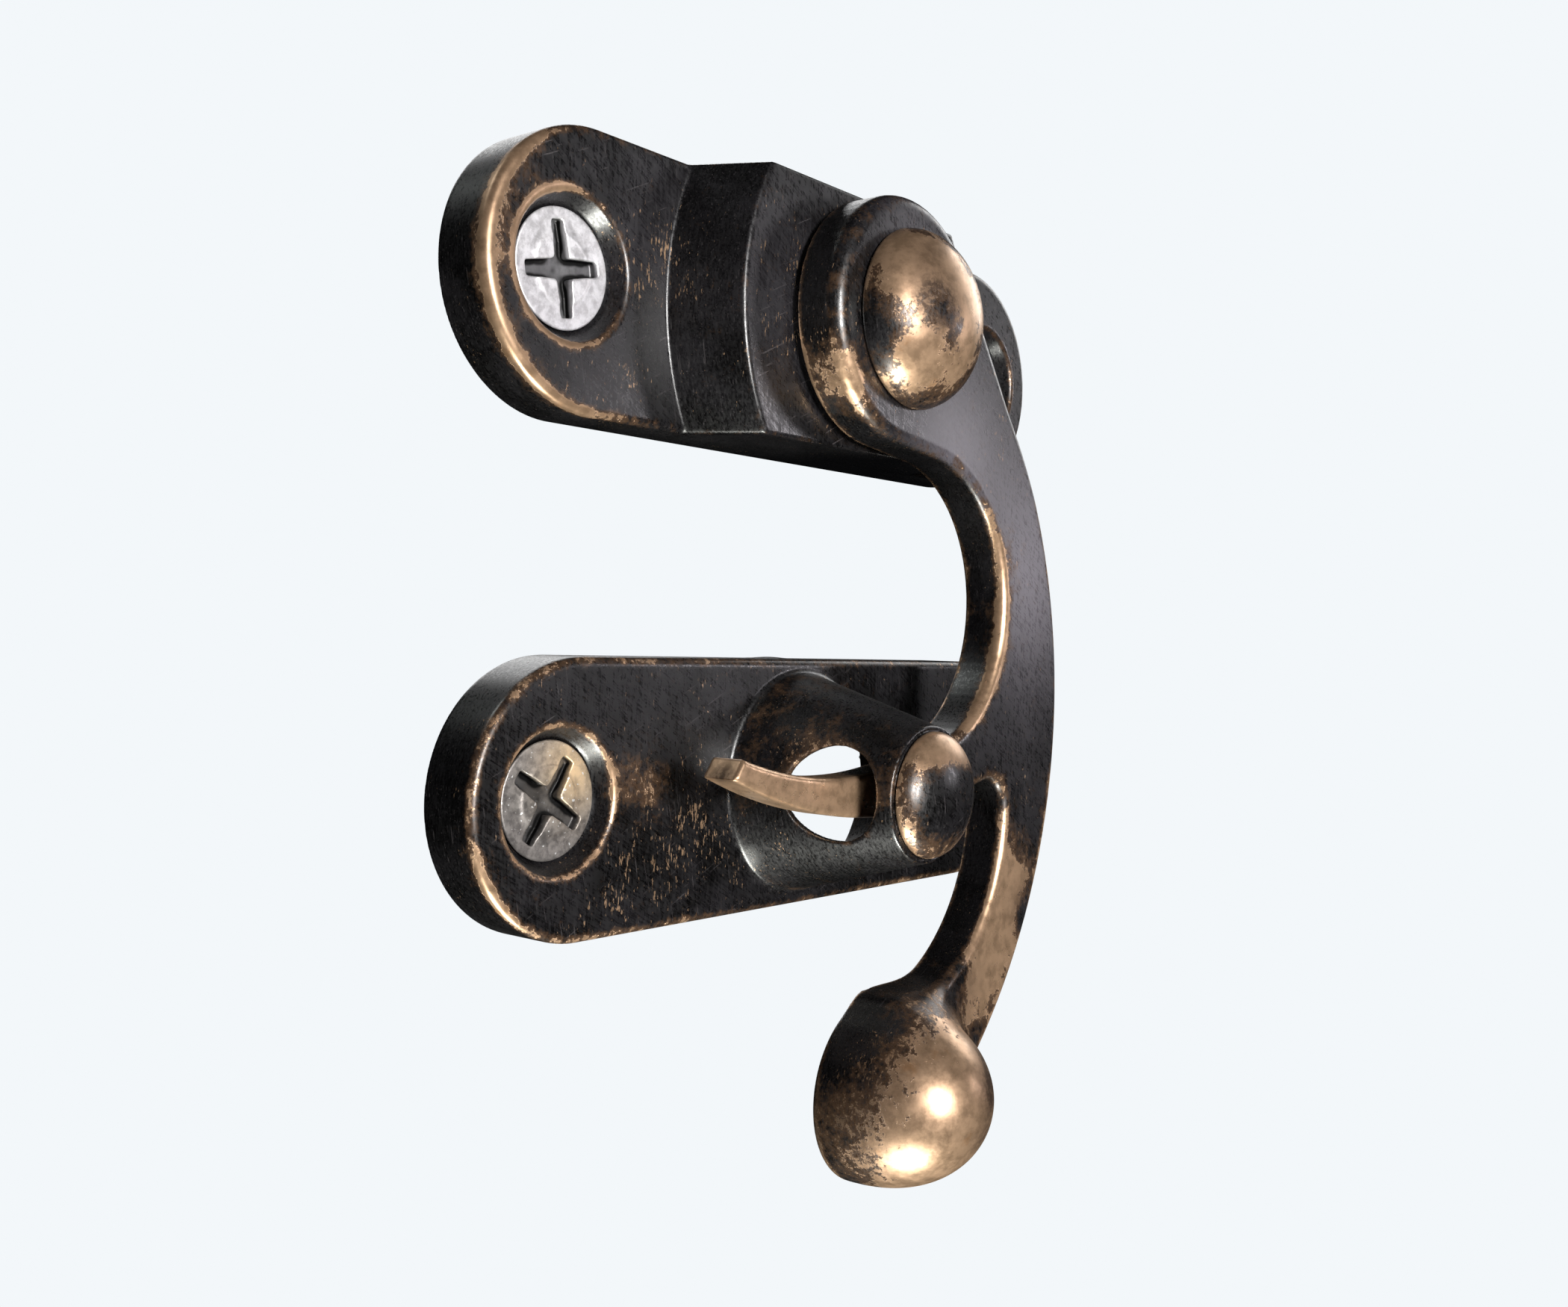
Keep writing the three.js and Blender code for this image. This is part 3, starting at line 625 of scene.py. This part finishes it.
class Shader:
    """A material under construction: each call adds one node and returns its output."""

    def __init__(self, name):
        self.material = bpy.data.materials.new(name)
        self.material.use_nodes = True
        self.tree = self.material.node_tree
        self.tree.nodes.clear()
        place_now = self.node("ShaderNodeTexCoord").outputs["Object"]
        self.place = self.vector("SCALE", place_now, scale=1 / MM)

    def node(self, kind, inputs=(), **settings):
        made = self.tree.nodes.new(kind)
        for key, value in settings.items():
            setattr(made, key, value)
        for key, value in dict(inputs).items():
            self.plug(made.inputs[key], value)
        return made

    def plug(self, socket, value):
        if isinstance(value, bpy.types.NodeSocket):
            self.tree.links.new(value, socket)
        elif isinstance(value, tuple) and len(value) == 3 and socket.type == "RGBA":
            socket.default_value = (*value, 1)
        else:
            socket.default_value = value

    def math(self, operation, a, b=0.0, clamp=False):
        return self.node(
            "ShaderNodeMath", {0: a, 1: b}, operation=operation, use_clamp=clamp
        ).outputs[0]

    def vector(self, operation, a, b=(0, 0, 0), scale=1.0):
        made = self.node("ShaderNodeVectorMath", {0: a, 1: b}, operation=operation)
        made.inputs[3].default_value = scale
        return made.outputs[0]

    def stretched(self, turn, scale):
        """The place turned by degrees about each axis, then scaled along each axis."""
        turned = self.node(
            "ShaderNodeMapping", {"Vector": self.place, "Rotation": [math.radians(a) for a in turn]}
        ).outputs[0]
        return self.vector("MULTIPLY", turned, scale)

    def noise(self, where, scale, detail=3.0, roughness=0.55, distortion=0.0):
        inputs = {
            "Vector": where,
            "Scale": scale,
            "Detail": detail,
            "Roughness": roughness,
            "Distortion": distortion,
        }
        return self.node("ShaderNodeTexNoise", inputs).outputs["Fac"]

    def ramp(self, value, low, high, start=0.0, end=1.0):
        inputs = {"Value": value, "From Min": low, "From Max": high, "To Min": start, "To Max": end}
        return self.node(
            "ShaderNodeMapRange", inputs, interpolation_type="SMOOTHSTEP"
        ).outputs[0]

    def mix(self, share, a, b):
        made = self.node("ShaderNodeMix", data_type="RGBA")
        self.plug(made.inputs[0], share)
        self.plug(made.inputs[6], a)
        self.plug(made.inputs[7], b)
        return made.outputs[2]

    def blend(self, share, a, b):
        made = self.node("ShaderNodeMix", data_type="FLOAT")
        self.plug(made.inputs[0], share)
        self.plug(made.inputs[2], a)
        self.plug(made.inputs[3], b)
        return made.outputs[0]

    def layer(self, name):
        return self.node("ShaderNodeAttribute", attribute_name=name).outputs["Fac"]

    def bump(self, height, depth, strength=1.0):
        inputs = {"Height": height, "Distance": depth * MM, "Strength": strength}
        return self.node("ShaderNodeBump", inputs).outputs[0]

    def finish(self, inputs):
        surface = self.node("ShaderNodeBsdfPrincipled", inputs)
        self.node("ShaderNodeOutputMaterial", {"Surface": surface.outputs[0]})
        return self.material


PATINA_DEEP = (0.0009, 0.0008, 0.0009)
PATINA_PALE = (0.0075, 0.0070, 0.0080)
PATINA_BROWN = (0.075, 0.043, 0.025)
SCRATCH = (0.05, 0.045, 0.047)
# Pale bluish colour of the painted sheen on the patina's front faces.
PAINTED_SHEEN_COLOUR = (0.135, 0.125, 0.145)
BRONZE_DARK = (0.34, 0.22, 0.135)
BRONZE_LIGHT = (0.52, 0.34, 0.215)
BRONZE_TARNISHED = (0.06, 0.037, 0.024)
BRONZE_ORANGE = (0.42, 0.21, 0.085)
WARM_STAIN = (0.75, 0.55, 0.33)
WHITE_SPECK = (0.8, 0.8, 0.8)
# Painted shade for the screws' cross recesses: grey on the recess floor, black in concave creases.
RECESS_SHADE_GREY = (0.06, 0.06, 0.062)
CREASE_SHADE = (0.004, 0.004, 0.004)


def patina_material(name):
    """Near-black bronze patina over warm metal.

    The layers "wear" and "speckle" say where it has gone, and "tarnish" where the bare metal has darkened
    again;
    a further layer marks where a pale bluish sheen is painted onto the front faces, standing in for light
    from the right.
    """
    s = Shader(name)
    upright = s.stretched((0, 0, 0), (13.0, 13.0, 2.6))
    slanted = s.stretched((0, 58, 0), (17.0, 17.0, 2.4))
    brushed = s.noise(upright, 1.0, 6.0, 0.7)
    crossed = s.noise(slanted, 1.0, 6.0, 0.7)
    brushing = s.math("MULTIPLY", s.math("ADD", brushed, crossed), 0.5)
    clouds = s.noise(s.place, 0.55, 3.0, 0.6, 0.4)
    grain = s.noise(s.place, 16.0, 3.0, 0.7)

    wear = s.layer("wear")
    blots = s.ramp(s.noise(s.place, 1.5, 9.0, 0.76, 0.2), 0.2, 0.8)
    crumbs = s.ramp(s.noise(s.place, 5.5, 6.0, 0.7), 0.15, 0.85)
    ragged = s.math("ADD", s.math("MULTIPLY", blots, 0.5), s.math("MULTIPLY", crumbs, 0.27))
    ragged = s.math("ADD", ragged, s.math("MULTIPLY", brushing, 0.23))
    crisp = s.ramp(s.math("SUBTRACT", wear, ragged), -0.01, 0.035)
    smoky = s.ramp(s.math("SUBTRACT", wear, ragged), -0.28, 0.06)

    flecks = s.noise(s.stretched((0, 0, 0), (14.0, 14.0, 3.6)), 1.0, 3.0, 0.6)
    fleck_groups = s.noise(s.place, 0.9, 2.0, 0.5)
    fleck_level = s.math("ADD", s.math("MULTIPLY", s.layer("speckle"), 0.34), fleck_groups)
    speckled = s.ramp(
        s.math("ADD", flecks, s.math("MULTIPLY", fleck_level, 0.35)), 0.90, 0.915
    )
    bare = s.math("MAXIMUM", crisp, speckled, clamp=True)
    scratches = s.math(
        "MAXIMUM",
        s.ramp(s.noise(s.stretched((0, 12, 0), (22.0, 22.0, 0.9)), 1.0, 2.0, 0.5), 0.66, 0.72),
        s.ramp(s.noise(s.stretched((0, -64, 0), (20.0, 20.0, 0.8)), 1.0, 2.0, 0.5), 0.67, 0.73),
    )

    tone = s.ramp(
        s.math("ADD", s.math("MULTIPLY", clouds, 0.55), s.math("MULTIPLY", brushing, 0.45)), 0.4, 0.62
    )
    patina = s.mix(tone, PATINA_DEEP, PATINA_PALE)
    # Painted sheen: the patina turns pale bluish on front faces, standing in for light from the right.
    painted_sheen = s.math("MULTIPLY", s.layer("painted_sheen"), s.ramp(brushing, 0.38, 0.6, 0.5, 0.85))
    patina = s.mix(painted_sheen, patina, PAINTED_SHEEN_COLOUR)
    patina = s.mix(s.math("MULTIPLY", scratches, 0.7), patina, SCRATCH)
    patina = s.mix(smoky, patina, PATINA_BROWN)
    bronze_tone = s.ramp(s.noise(s.place, 1.7, 5.0, 0.7), 0.35, 0.6)
    bronze = s.mix(bronze_tone, BRONZE_DARK, BRONZE_LIGHT)
    orange = s.ramp(s.noise(s.place, 0.8, 4.0, 0.6), 0.62, 0.75, 0.0, 0.5)
    bronze = s.mix(orange, bronze, BRONZE_ORANGE)
    tarnish = s.math("MULTIPLY", s.layer("tarnish"), s.ramp(crumbs, 0.3, 0.62, 0.8, 1.1), clamp=True)
    bronze = s.mix(tarnish, bronze, BRONZE_TARNISHED)
    colour = s.mix(bare, patina, bronze)

    dull = s.ramp(brushing, 0.36, 0.62, 0.2, 0.42)
    shiny = s.ramp(s.noise(s.place, 3.0, 4.0, 0.6), 0.3, 0.7, 0.26, 0.38)
    shiny = s.blend(tarnish, shiny, 0.55)
    roughness = s.blend(bare, dull, shiny)
    height = s.math("SUBTRACT", s.math("MULTIPLY", brushing, 0.5), s.math("MULTIPLY", crisp, 0.8))
    height = s.math("ADD", height, s.math("MULTIPLY", grain, 0.22))
    return s.finish(
        {
            "Base Color": colour,
            "Metallic": s.blend(s.math("MAXIMUM", bare, s.math("MULTIPLY", smoky, 0.5)), 0.0, 0.72),
            "Specular IOR Level": s.blend(bare, 0.62, 0.5),
            "Roughness": roughness,
            "Normal": s.bump(height, 0.0045, 0.7),
        }
    )


def zinc_material(name, pale, dark, white_specks):
    """Cloudy zinc plate, with painted shade in its recesses and creases, and stained where the layer
    "stain" says.
    """
    s = Shader(name)
    clouds = s.noise(s.place, 2.6, 8.0, 0.72, 0.2)
    fine = s.noise(s.place, 14.0, 4.0, 0.6)
    colour = s.mix(s.ramp(clouds, 0.36, 0.62), dark, pale)
    stain = s.math("MULTIPLY", s.layer("stain"), s.ramp(clouds, 0.36, 0.6, 0.6, 1.0))
    colour = s.mix(stain, colour, WARM_STAIN)
    specks = s.ramp(s.noise(s.place, 9.0, 1.0, 0.4), 0.68, 0.74, 0.0, white_specks)
    colour = s.mix(specks, colour, WHITE_SPECK)
    # Painted shade: the recess floor greyer with depth, and concave creases black.
    crease_shade = s.ramp(s.layer("edge"), -0.16, -0.03, 0.0, 1.0)
    colour = s.mix(s.math("MULTIPLY", s.layer("pit"), 0.86), colour, RECESS_SHADE_GREY)
    colour = s.mix(crease_shade, CREASE_SHADE, colour)
    roughness = s.ramp(s.math("ADD", clouds, s.math("MULTIPLY", fine, 0.3)), 0.4, 0.8, 0.3, 0.5)
    return s.finish(
        {
            "Base Color": colour,
            "Metallic": 0.65,
            "Roughness": roughness,
            "Normal": s.bump(s.math("ADD", clouds, fine), 0.008, 0.6),
        }
    )


# ---------------------------------------------------------------------------
# Building the pieces
# ---------------------------------------------------------------------------

PATINA = patina_material("antique_bronze")
BRIGHT_ZINC = zinc_material("zinc", (0.80, 0.79, 0.82), (0.52, 0.51, 0.53), 0.2)
AGED_ZINC = zinc_material("aged_zinc", (0.30, 0.28, 0.265), (0.15, 0.14, 0.135), 0.9)

PLATE_LEFT = -PLATE_HALF_LENGTH
# Edges that are rubbed more or less than the rest. Each patch is a centre, a radius and a strength.
RUBBED = {
    "pivot_plate": [
        ((PLATE_LEFT, PIVOT_Y + 1.5, 1.9), 2.2, 1.2),
        ((PLATE_LEFT + 0.8, PIVOT_Y - 2.4, 1.9), 2.6, 1.6),
        ((PLATE_LEFT + 4.4, PIVOT_Y - 4.1, 1.9), 1.6, 0.5),
        ((-SCREW_X - 1.6, PIVOT_Y + 1.4, 2.0), 1.6, 1.2),
        ((0, PIVOT_Y, BOSS_FRONT), 8.0, -1.3),
        ((-SCREW_X - 1.4, PIVOT_Y + 1.6, 2.0), 1.3, 0.6),
    ],
    "swing_arm": [
        ((6.1, 4.8, 6.0), 2.3, 1.3),
        ((5.2, 3.0, 6.0), 1.8, 1.6),
        ((5.0, 8.8, 6.0), 1.3, 0.3),
        ((8.9, -1.2, 6.0), 2.6, 0.7),
        ((9.9, 8.5, 6.0), 2.6, 0.3),
    ],
    "catch_plate": [
        ((PLATE_LEFT + 0.6, -2.4, 1.9), 1.3, 0.5),
        ((0, 0, 4.0), 4.5, -0.9),
        ((0, 0, POST_FRONT), 2.6, -0.8),
    ],
}
# Where the patina is worn through. Negative strengths keep it whole.
WORN = {
    "catch_plate": [
        ((-SCREW_X + 2.6, 0.6, 2.04), 0.9, 0.26),
        ((-SCREW_X + 3.7, 0.2, 2.04), 1.0, 0.24),
        ((-3.2, 1.7, 5.2), 1.5, 0.26),
        ((-2.2, 0.3, 7.2), 1.0, 0.22),
        ((-2.4, -2.0, 3.0), 1.5, -0.3),
    ],
    "swing_arm": [
        ((-7.4, 1.6, 5.4), 3.0, 0.6),
        ((-4.4, 0.6, 5.6), 2.8, 0.5),
        ((-1.4, 0.5, 5.7), 2.4, 0.45),
        ((-1.2, 1.1, 5.3), 0.8, -0.5),
        ((-3.0, 1.2, 5.1), 0.8, -0.4),
        ((-5.2, 1.5, 5.0), 0.8, -0.4),
        ((-4.4, 0.7, 6.1), 0.45, -0.6),
        ((-5.4, 0.8, 6.2), 0.3, -0.4),
        ((-7.8, 0.9, 5.2), 0.5, -0.3),
        ((-3.0, 12.6, 5.6), 1.2, 0.5),
        ((6.2, 5.8, 5.9), 1.6, 0.12),
        ((1.0, -9.9, 8.2), 3.2, 0.85),
        ((1.4, -11.5, 6.4), 2.2, 0.45),
        ((-1.7, -9.9, 5.2), 1.6, 0.12),
        ((-1.2, -7.6, 5.2), 1.5, -0.3),
        ((2.5, -9.6, 8.5), 0.9, -0.5),
    ],
    "pivot_rivet": [
        ((0.0, PIVOT_Y, 8.0), 2.7, 0.62),
        ((-1.3, PIVOT_Y + 1.6, 7.5), 1.4, 0.2),
        ((-0.9, PIVOT_Y - 1.7, 7.5), 1.3, 0.2),
        ((-2.9, PIVOT_Y - 0.9, 6.3), 0.9, -0.4),
        ((-1.9, PIVOT_Y + 1.5, 7.0), 1.5, 0.35),
        ((-1.8, PIVOT_Y - 1.6, 7.0), 1.1, 0.2),
        ((-1.1, PIVOT_Y + 0.2, 7.9), 0.8, -0.42),
        ((-0.5, PIVOT_Y - 0.8, 8.0), 0.7, -0.32),
    ],
    "post_cap": [
        ((0.0, 0.0, 7.9), 2.6, 0.62),
        ((-0.2, -0.05, 8.3), 1.2, -1.0),
        ((1.3, -0.1, 8.1), 0.9, -0.4),
        ((-0.7, 1.6, 7.9), 0.9, 0.5),
        ((0.9, 1.6, 7.9), 0.8, 0.4),
    ],
}
# The same, on surfaces that face forward only.
FRONT_WORN = {
    "swing_arm": [
        ((6.9, -3.6, 6.1), 1.5, 0.6),
        ((6.3, -5.0, 6.1), 1.8, 0.6),
        ((5.2, -7.0, 6.1), 1.6, 0.5),
        ((8.0, -4.9, 6.1), 0.8, -0.5),
        ((3.9, -6.2, 6.1), 0.9, -0.35),
        ((5.9, 7.8, 6.1), 1.3, 0.24),
    ],
}
# Painted sheen: a pale bluish colour put on the patina's front faces where light from the right would
# gleam.
PAINTED_SHEEN_SPOTS = {
    "swing_arm": [
        ((7.6, 7.4, 6.1), 3.6, 1.0),
        ((2.8, 11.2, 6.1), 2.4, 0.7),
        ((0.0, 18.2, 6.1), 2.2, 0.24),
    ],
    "pivot_plate": [
        ((-6.6, PIVOT_Y + 1.0, 2.0), 3.0, 0.10),
        ((-3.2, PIVOT_Y, BOSS_FRONT), 2.5, 0.08),
    ],
}
# Where small flecks of bronze show through the patina.
SPECKLED = {
    "pivot_plate": [
        ((-SCREW_X + 3.1, PIVOT_Y + 0.6, 2.0), 1.6, 1.0),
        ((-3.5, PIVOT_Y + 0.2, BOSS_FRONT), 2.2, 0.6),
    ],
    "catch_plate": [
        ((-5.8, -1.4, 2.0), 1.9, 1.1),
        ((-SCREW_X + 1.8, -2.8, 2.0), 1.6, 0.8),
        ((-2.9, -2.5, 3.2), 1.5, 0.5),
        ((-3.4, 1.8, 4.0), 1.4, 0.7),
    ],
    "swing_arm": [
        ((-2.9, 14.2, 5.5), 1.2, 0.5),
        ((-1.9, -9.2, 5.4), 2.0, 0.7),
        ((1.9, -9.8, 8.6), 1.2, 0.8),
    ],
}
# Where the bare bronze has darkened again.
TARNISHED = {
    "swing_arm": [
        ((-1.9, -10.0, 5.2), 2.3, 1.0),
        ((1.9, -9.4, 8.8), 0.8, 1.2),
        ((1.4, -10.8, 8.6), 0.7, 0.8),
        ((2.3, -8.4, 8.1), 0.7, 0.8),
        ((8.1, -4.6, 6.1), 0.9, 0.8),
        ((3.9, -6.9, 6.1), 1.1, 0.6),
        ((-7.8, 0.9, 5.3), 0.5, 0.9),
        ((-1.0, 0.9, 5.5), 1.0, 0.4),
    ],
    "pivot_rivet": [
        ((-1.4, PIVOT_Y + 0.3, 7.8), 0.8, 1.0),
        ((-0.8, PIVOT_Y - 0.1, 7.9), 0.7, 0.9),
        ((-2.6, PIVOT_Y - 0.6, 6.5), 0.9, 0.8),
        ((-1.2, PIVOT_Y + 1.6, 7.4), 0.7, 0.35),
    ],
    "pivot_plate": [((PLATE_LEFT + 0.6, PIVOT_Y, 1.9), 4.5, 0.28)],
    "post_cap": [((0.2, 0.2, 8.3), 1.0, 0.6)],
}
# Where the zinc has a warm stain.
STAINED = {"catch_screw_left": [((-SCREW_X + 0.9, 0.9, HEAD_FRONT), 1.1, 1.0)]}
# How strongly each piece's own edges are worn.
EDGE_WEAR = {
    "pivot_plate": 1.7,
    "catch_plate": 2.1,
    "swing_arm": 1.8,
    "pivot_rivet": 0.6,
    "post_cap": 0.6,
}


FINE_REACH = 0.25
BROAD_REACH = 0.8
SCREW_REACH = 0.2

# The mesh's spacing on each piece.
PLATE_SPACING = 0.08
ARM_SPACING = 0.07
RIVET_SPACING = 0.06
SMALL_SPACING = 0.05
SCREW_SPACING = 0.04


def front_edge_of(name):
    """How far out of the wall a piece's front edge lies."""
    return PLATE_FRONT if name.endswith("plate") else ARM_FRONT


def layers_for(name, shape, points):
    """The numbers at each vertex that tell the materials where the finish has changed."""
    fine = sharpness(shape, points, FINE_REACH)
    broad = sharpness(shape, points, BROAD_REACH)
    rim = front_edge_of(name)
    rubbing = spots(points, RUBBED.get(name, [])) * np.clip((points[:, 2] - rim + 1.1) / 0.6, 0, 1)
    wear = 0.1 + EDGE_WEAR.get(name, 0) * np.clip(fine, 0, 0.3) * np.clip(1 + rubbing, 0, 2)
    wear += 0.9 * np.clip(broad, 0, 0.4) * np.clip(rubbing, 0, 2) + 1.2 * np.clip(fine, -0.3, 0)
    if name.endswith("plate"):
        wear *= np.clip((points[:, 2] - 0.5) / 0.9, 0, 1)
    slope = gradient(shape, points)
    facing = np.clip((slope[:, 2] / np.linalg.norm(slope, axis=1) - 0.3) / 0.4, 0, 1)
    return {
        "edge": fine,
        "wear": wear
        + spots(points, WORN.get(name, []))
        + facing * spots(points, FRONT_WORN.get(name, [])),
        "speckle": spots(points, SPECKLED.get(name, [])),
        # Painted sheen, on front faces only.
        "painted_sheen": facing * spots(points, PAINTED_SHEEN_SPOTS.get(name, [])),
        "tarnish": np.clip(spots(points, TARNISHED.get(name, [])), 0, 1),
    }


def build(node, body, shape, material, spacing):
    """Mesh one piece inside its node's box and put it on its body."""
    low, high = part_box(node)
    low_face = (low.x / MM, low.z / MM - POST_PLACE.z, -high.y / MM)
    high_face = (high.x / MM, high.z / MM - POST_PLACE.z, -low.y / MM)
    points, quads = skin(shape, low_face, high_face, spacing)
    layers = layers_for(node, shape, points)
    make_piece(node + "_finish", node, body, material, points, quads, layers)


def build_screws():
    """Mesh one screw and place it four times, each with its cross turned its own way."""
    low = (-HEAD_RADIUS, -HEAD_RADIUS, SCREW_TIP)
    high = (HEAD_RADIUS, HEAD_RADIUS, HEAD_FRONT)
    points, quads = skin(wood_screw, low, high, SCREW_SPACING)
    radius, depth = np.hypot(points[:, 0], points[:, 1]), HEAD_FRONT - points[:, 2]
    in_recess = (radius < 1.5) & (depth < 0.7)
    layers = {
        "edge": sharpness(wood_screw, points, SCREW_REACH),
        # Painted shade on the recess floor, darker with depth.
        "pit": in_recess * np.clip((depth - 0.04) / 0.12, 0, 1),
    }
    for node, degrees, material, slot in (
        ("pivot_screw_left", 10, BRIGHT_ZINC, "zinc"),
        ("pivot_screw_right", 33, BRIGHT_ZINC, "zinc"),
        ("catch_screw_left", -33, AGED_ZINC, "aged_zinc"),
        ("catch_screw_right", -12, AGED_ZINC, "aged_zinc"),
    ):
        turn = math.radians(degrees)
        middle = centre_of(node)
        x, y, z = points.T
        placed = np.stack(
            [
                x * math.cos(turn) - y * math.sin(turn) + middle.x,
                x * math.sin(turn) + y * math.cos(turn) + middle.z - POST_PLACE.z,
                z,
            ],
            1,
        )
        layers["stain"] = spots(placed, STAINED.get(node, []))
        make_piece(node + "_finish", node, "plates", material, placed, quads, layers)


build("pivot_plate", "plates", pivot_plate, PATINA, PLATE_SPACING)
build("catch_plate", "plates", catch_plate, PATINA, PLATE_SPACING)
build("swing_arm", "arm", swing_arm, PATINA, ARM_SPACING)
build("pivot_rivet", "plates", pivot_rivet, PATINA, RIVET_SPACING)
build("post_cap", "plates", post_cap, PATINA, SMALL_SPACING)
build("friction_washer", "plates", washer(2.25, 4.31, 4.61), BRIGHT_ZINC, SMALL_SPACING)
build("tail_washer", "plates", washer(2.4, 0.64, 1.04), BRIGHT_ZINC, SMALL_SPACING)
build_screws()

# ---------------------------------------------------------------------------
# Stage, light and camera
# ---------------------------------------------------------------------------

BACKDROP = (0.896, 0.930, 0.956)
FLOOR_DROP = 0.25
FLOOR_HALF = 20.0


def add_floor():
    """A wide pale floor far enough below the latch to take no shadow from it."""
    height = cad_box[0][2] - FLOOR_DROP
    corners = [
        (side * FLOOR_HALF, depth * FLOOR_HALF, height)
        for side, depth in ((-1, -1), (1, -1), (1, 1), (-1, 1))
    ]
    mesh = bpy.data.meshes.new("floor")
    mesh.from_pydata(corners, [], [(0, 1, 2, 3)])
    floor = bpy.data.objects.new("floor", mesh)
    bpy.context.scene.collection.objects.link(floor)
    s = Shader("pale_floor")
    glow = s.node("ShaderNodeEmission", {"Color": BACKDROP})
    s.node("ShaderNodeOutputMaterial", {"Surface": glow.outputs[0]})
    mesh.materials.append(s.material)
    floor.visible_diffuse = False
    floor.visible_glossy = False
    floor.visible_shadow = False


def add_world(ambient_top, ambient_side, ambient_low):
    """The backdrop's colour for the camera, and a dim vertical gradient for everything else."""
    world = bpy.data.worlds.new("studio")
    bpy.context.scene.world = world
    world.use_nodes = True
    tree = world.node_tree
    tree.nodes.clear()

    def node(kind, **settings):
        made = tree.nodes.new(kind)
        for key, value in settings.items():
            setattr(made, key, value)
        return made

    split = node("ShaderNodeSeparateXYZ")
    tree.links.new(node("ShaderNodeTexCoord").outputs["Generated"], split.inputs[0])
    ramp = node("ShaderNodeValToRGB")
    spread = node("ShaderNodeMapRange")
    spread.inputs["From Min"].default_value = -1
    tree.links.new(split.outputs[2], spread.inputs[0])
    tree.links.new(spread.outputs[0], ramp.inputs[0])
    stops = ramp.color_ramp.elements
    stops.new(0.5)
    for stop, colour in zip(stops, (ambient_low, ambient_side, ambient_top)):
        stop.color = (*colour, 1)
    seen = node("ShaderNodeBackground")
    seen.inputs["Color"].default_value = (*BACKDROP, 1)
    unseen = node("ShaderNodeBackground")
    tree.links.new(ramp.outputs[0], unseen.inputs["Color"])
    choose = node("ShaderNodeMixShader")
    tree.links.new(node("ShaderNodeLightPath").outputs["Is Camera Ray"], choose.inputs[0])
    tree.links.new(unseen.outputs[0], choose.inputs[1])
    tree.links.new(seen.outputs[0], choose.inputs[2])
    tree.links.new(choose.outputs[0], node("ShaderNodeOutputWorld").inputs[0])


LIGHT_DISTANCE = 0.3


def add_light(name, azimuth, elevation, width, height, power, colour):
    """A soft box that faces the latch. Azimuth 0 is straight in front, and grows towards +X."""
    turn, rise = math.radians(azimuth), math.radians(elevation)
    way = Vector(
        (math.sin(turn) * math.cos(rise), -math.cos(turn) * math.cos(rise), math.sin(rise))
    )
    light = bpy.data.lights.new(name, "AREA")
    light.shape = "ELLIPSE"
    light.size, light.size_y = width, height
    light.energy = power
    light.color = colour
    lamp = bpy.data.objects.new(name, light)
    middle = Vector((0.0, 0.0, POST_PLACE.z * MM / 2))
    lamp.location = middle + way * LIGHT_DISTANCE
    lamp.rotation_euler = way.to_track_quat("Z", "Y").to_euler()
    lamp.visible_camera = False
    bpy.context.scene.collection.objects.link(lamp)


add_floor()
add_world((0.012, 0.012, 0.013), (0.007, 0.007, 0.008), (0.005, 0.005, 0.005))
add_light("key", -16, 5, 0.10, 0.12, 1.5, (1.0, 0.985, 0.97))
add_light("under", -42, -72, 0.12, 0.10, 1.7, (0.99, 1.0, 0.93))
add_light("side_sheen", 49, 7, 0.05, 0.05, 0.062, (1.0, 0.95, 1.0))
add_light("top_back", 217, 48, 0.10, 0.09, 0.10, (0.95, 1.0, 0.97))
add_light("right_fill", 84, 25, 0.16, 0.16, 0.22, (1.0, 1.0, 1.0))
add_light("back_fill", 148, 30, 0.2, 0.2, 0.22, (1.0, 1.0, 1.0))

CAMERA_PLACE = Vector((-40.0955, -33.7277, POST_PLACE.z + 4.6601)) * MM
CAMERA_HEADING = 50.9423
CAMERA_DROP = 0.429
CAMERA_ROLL = 1.5816
LENS = 35
SENSOR_WIDTH = 36


def add_camera():
    """A camera in front of the latch, to its left and level with its lower half."""
    heading, drop = math.radians(CAMERA_HEADING), math.radians(CAMERA_DROP)
    forward = Vector(
        (math.sin(heading) * math.cos(drop), math.cos(heading) * math.cos(drop), -math.sin(drop))
    )
    level = Vector((math.cos(heading), -math.sin(heading), 0))
    upright = level.cross(forward)
    roll = Matrix.Rotation(math.radians(CAMERA_ROLL), 3, "Z")
    axes = Matrix((level, upright, -forward)).transposed() @ roll
    lens = bpy.data.cameras.new("camera")
    lens.lens = LENS
    lens.sensor_width = SENSOR_WIDTH
    lens.clip_start = 0.001
    camera = bpy.data.objects.new("camera", lens)
    camera.matrix_world = Matrix.Translation(CAMERA_PLACE) @ axes.to_4x4()
    bpy.context.scene.collection.objects.link(camera)
    bpy.context.scene.camera = camera


add_camera()
bpy.context.scene.view_settings.view_transform = "Standard"
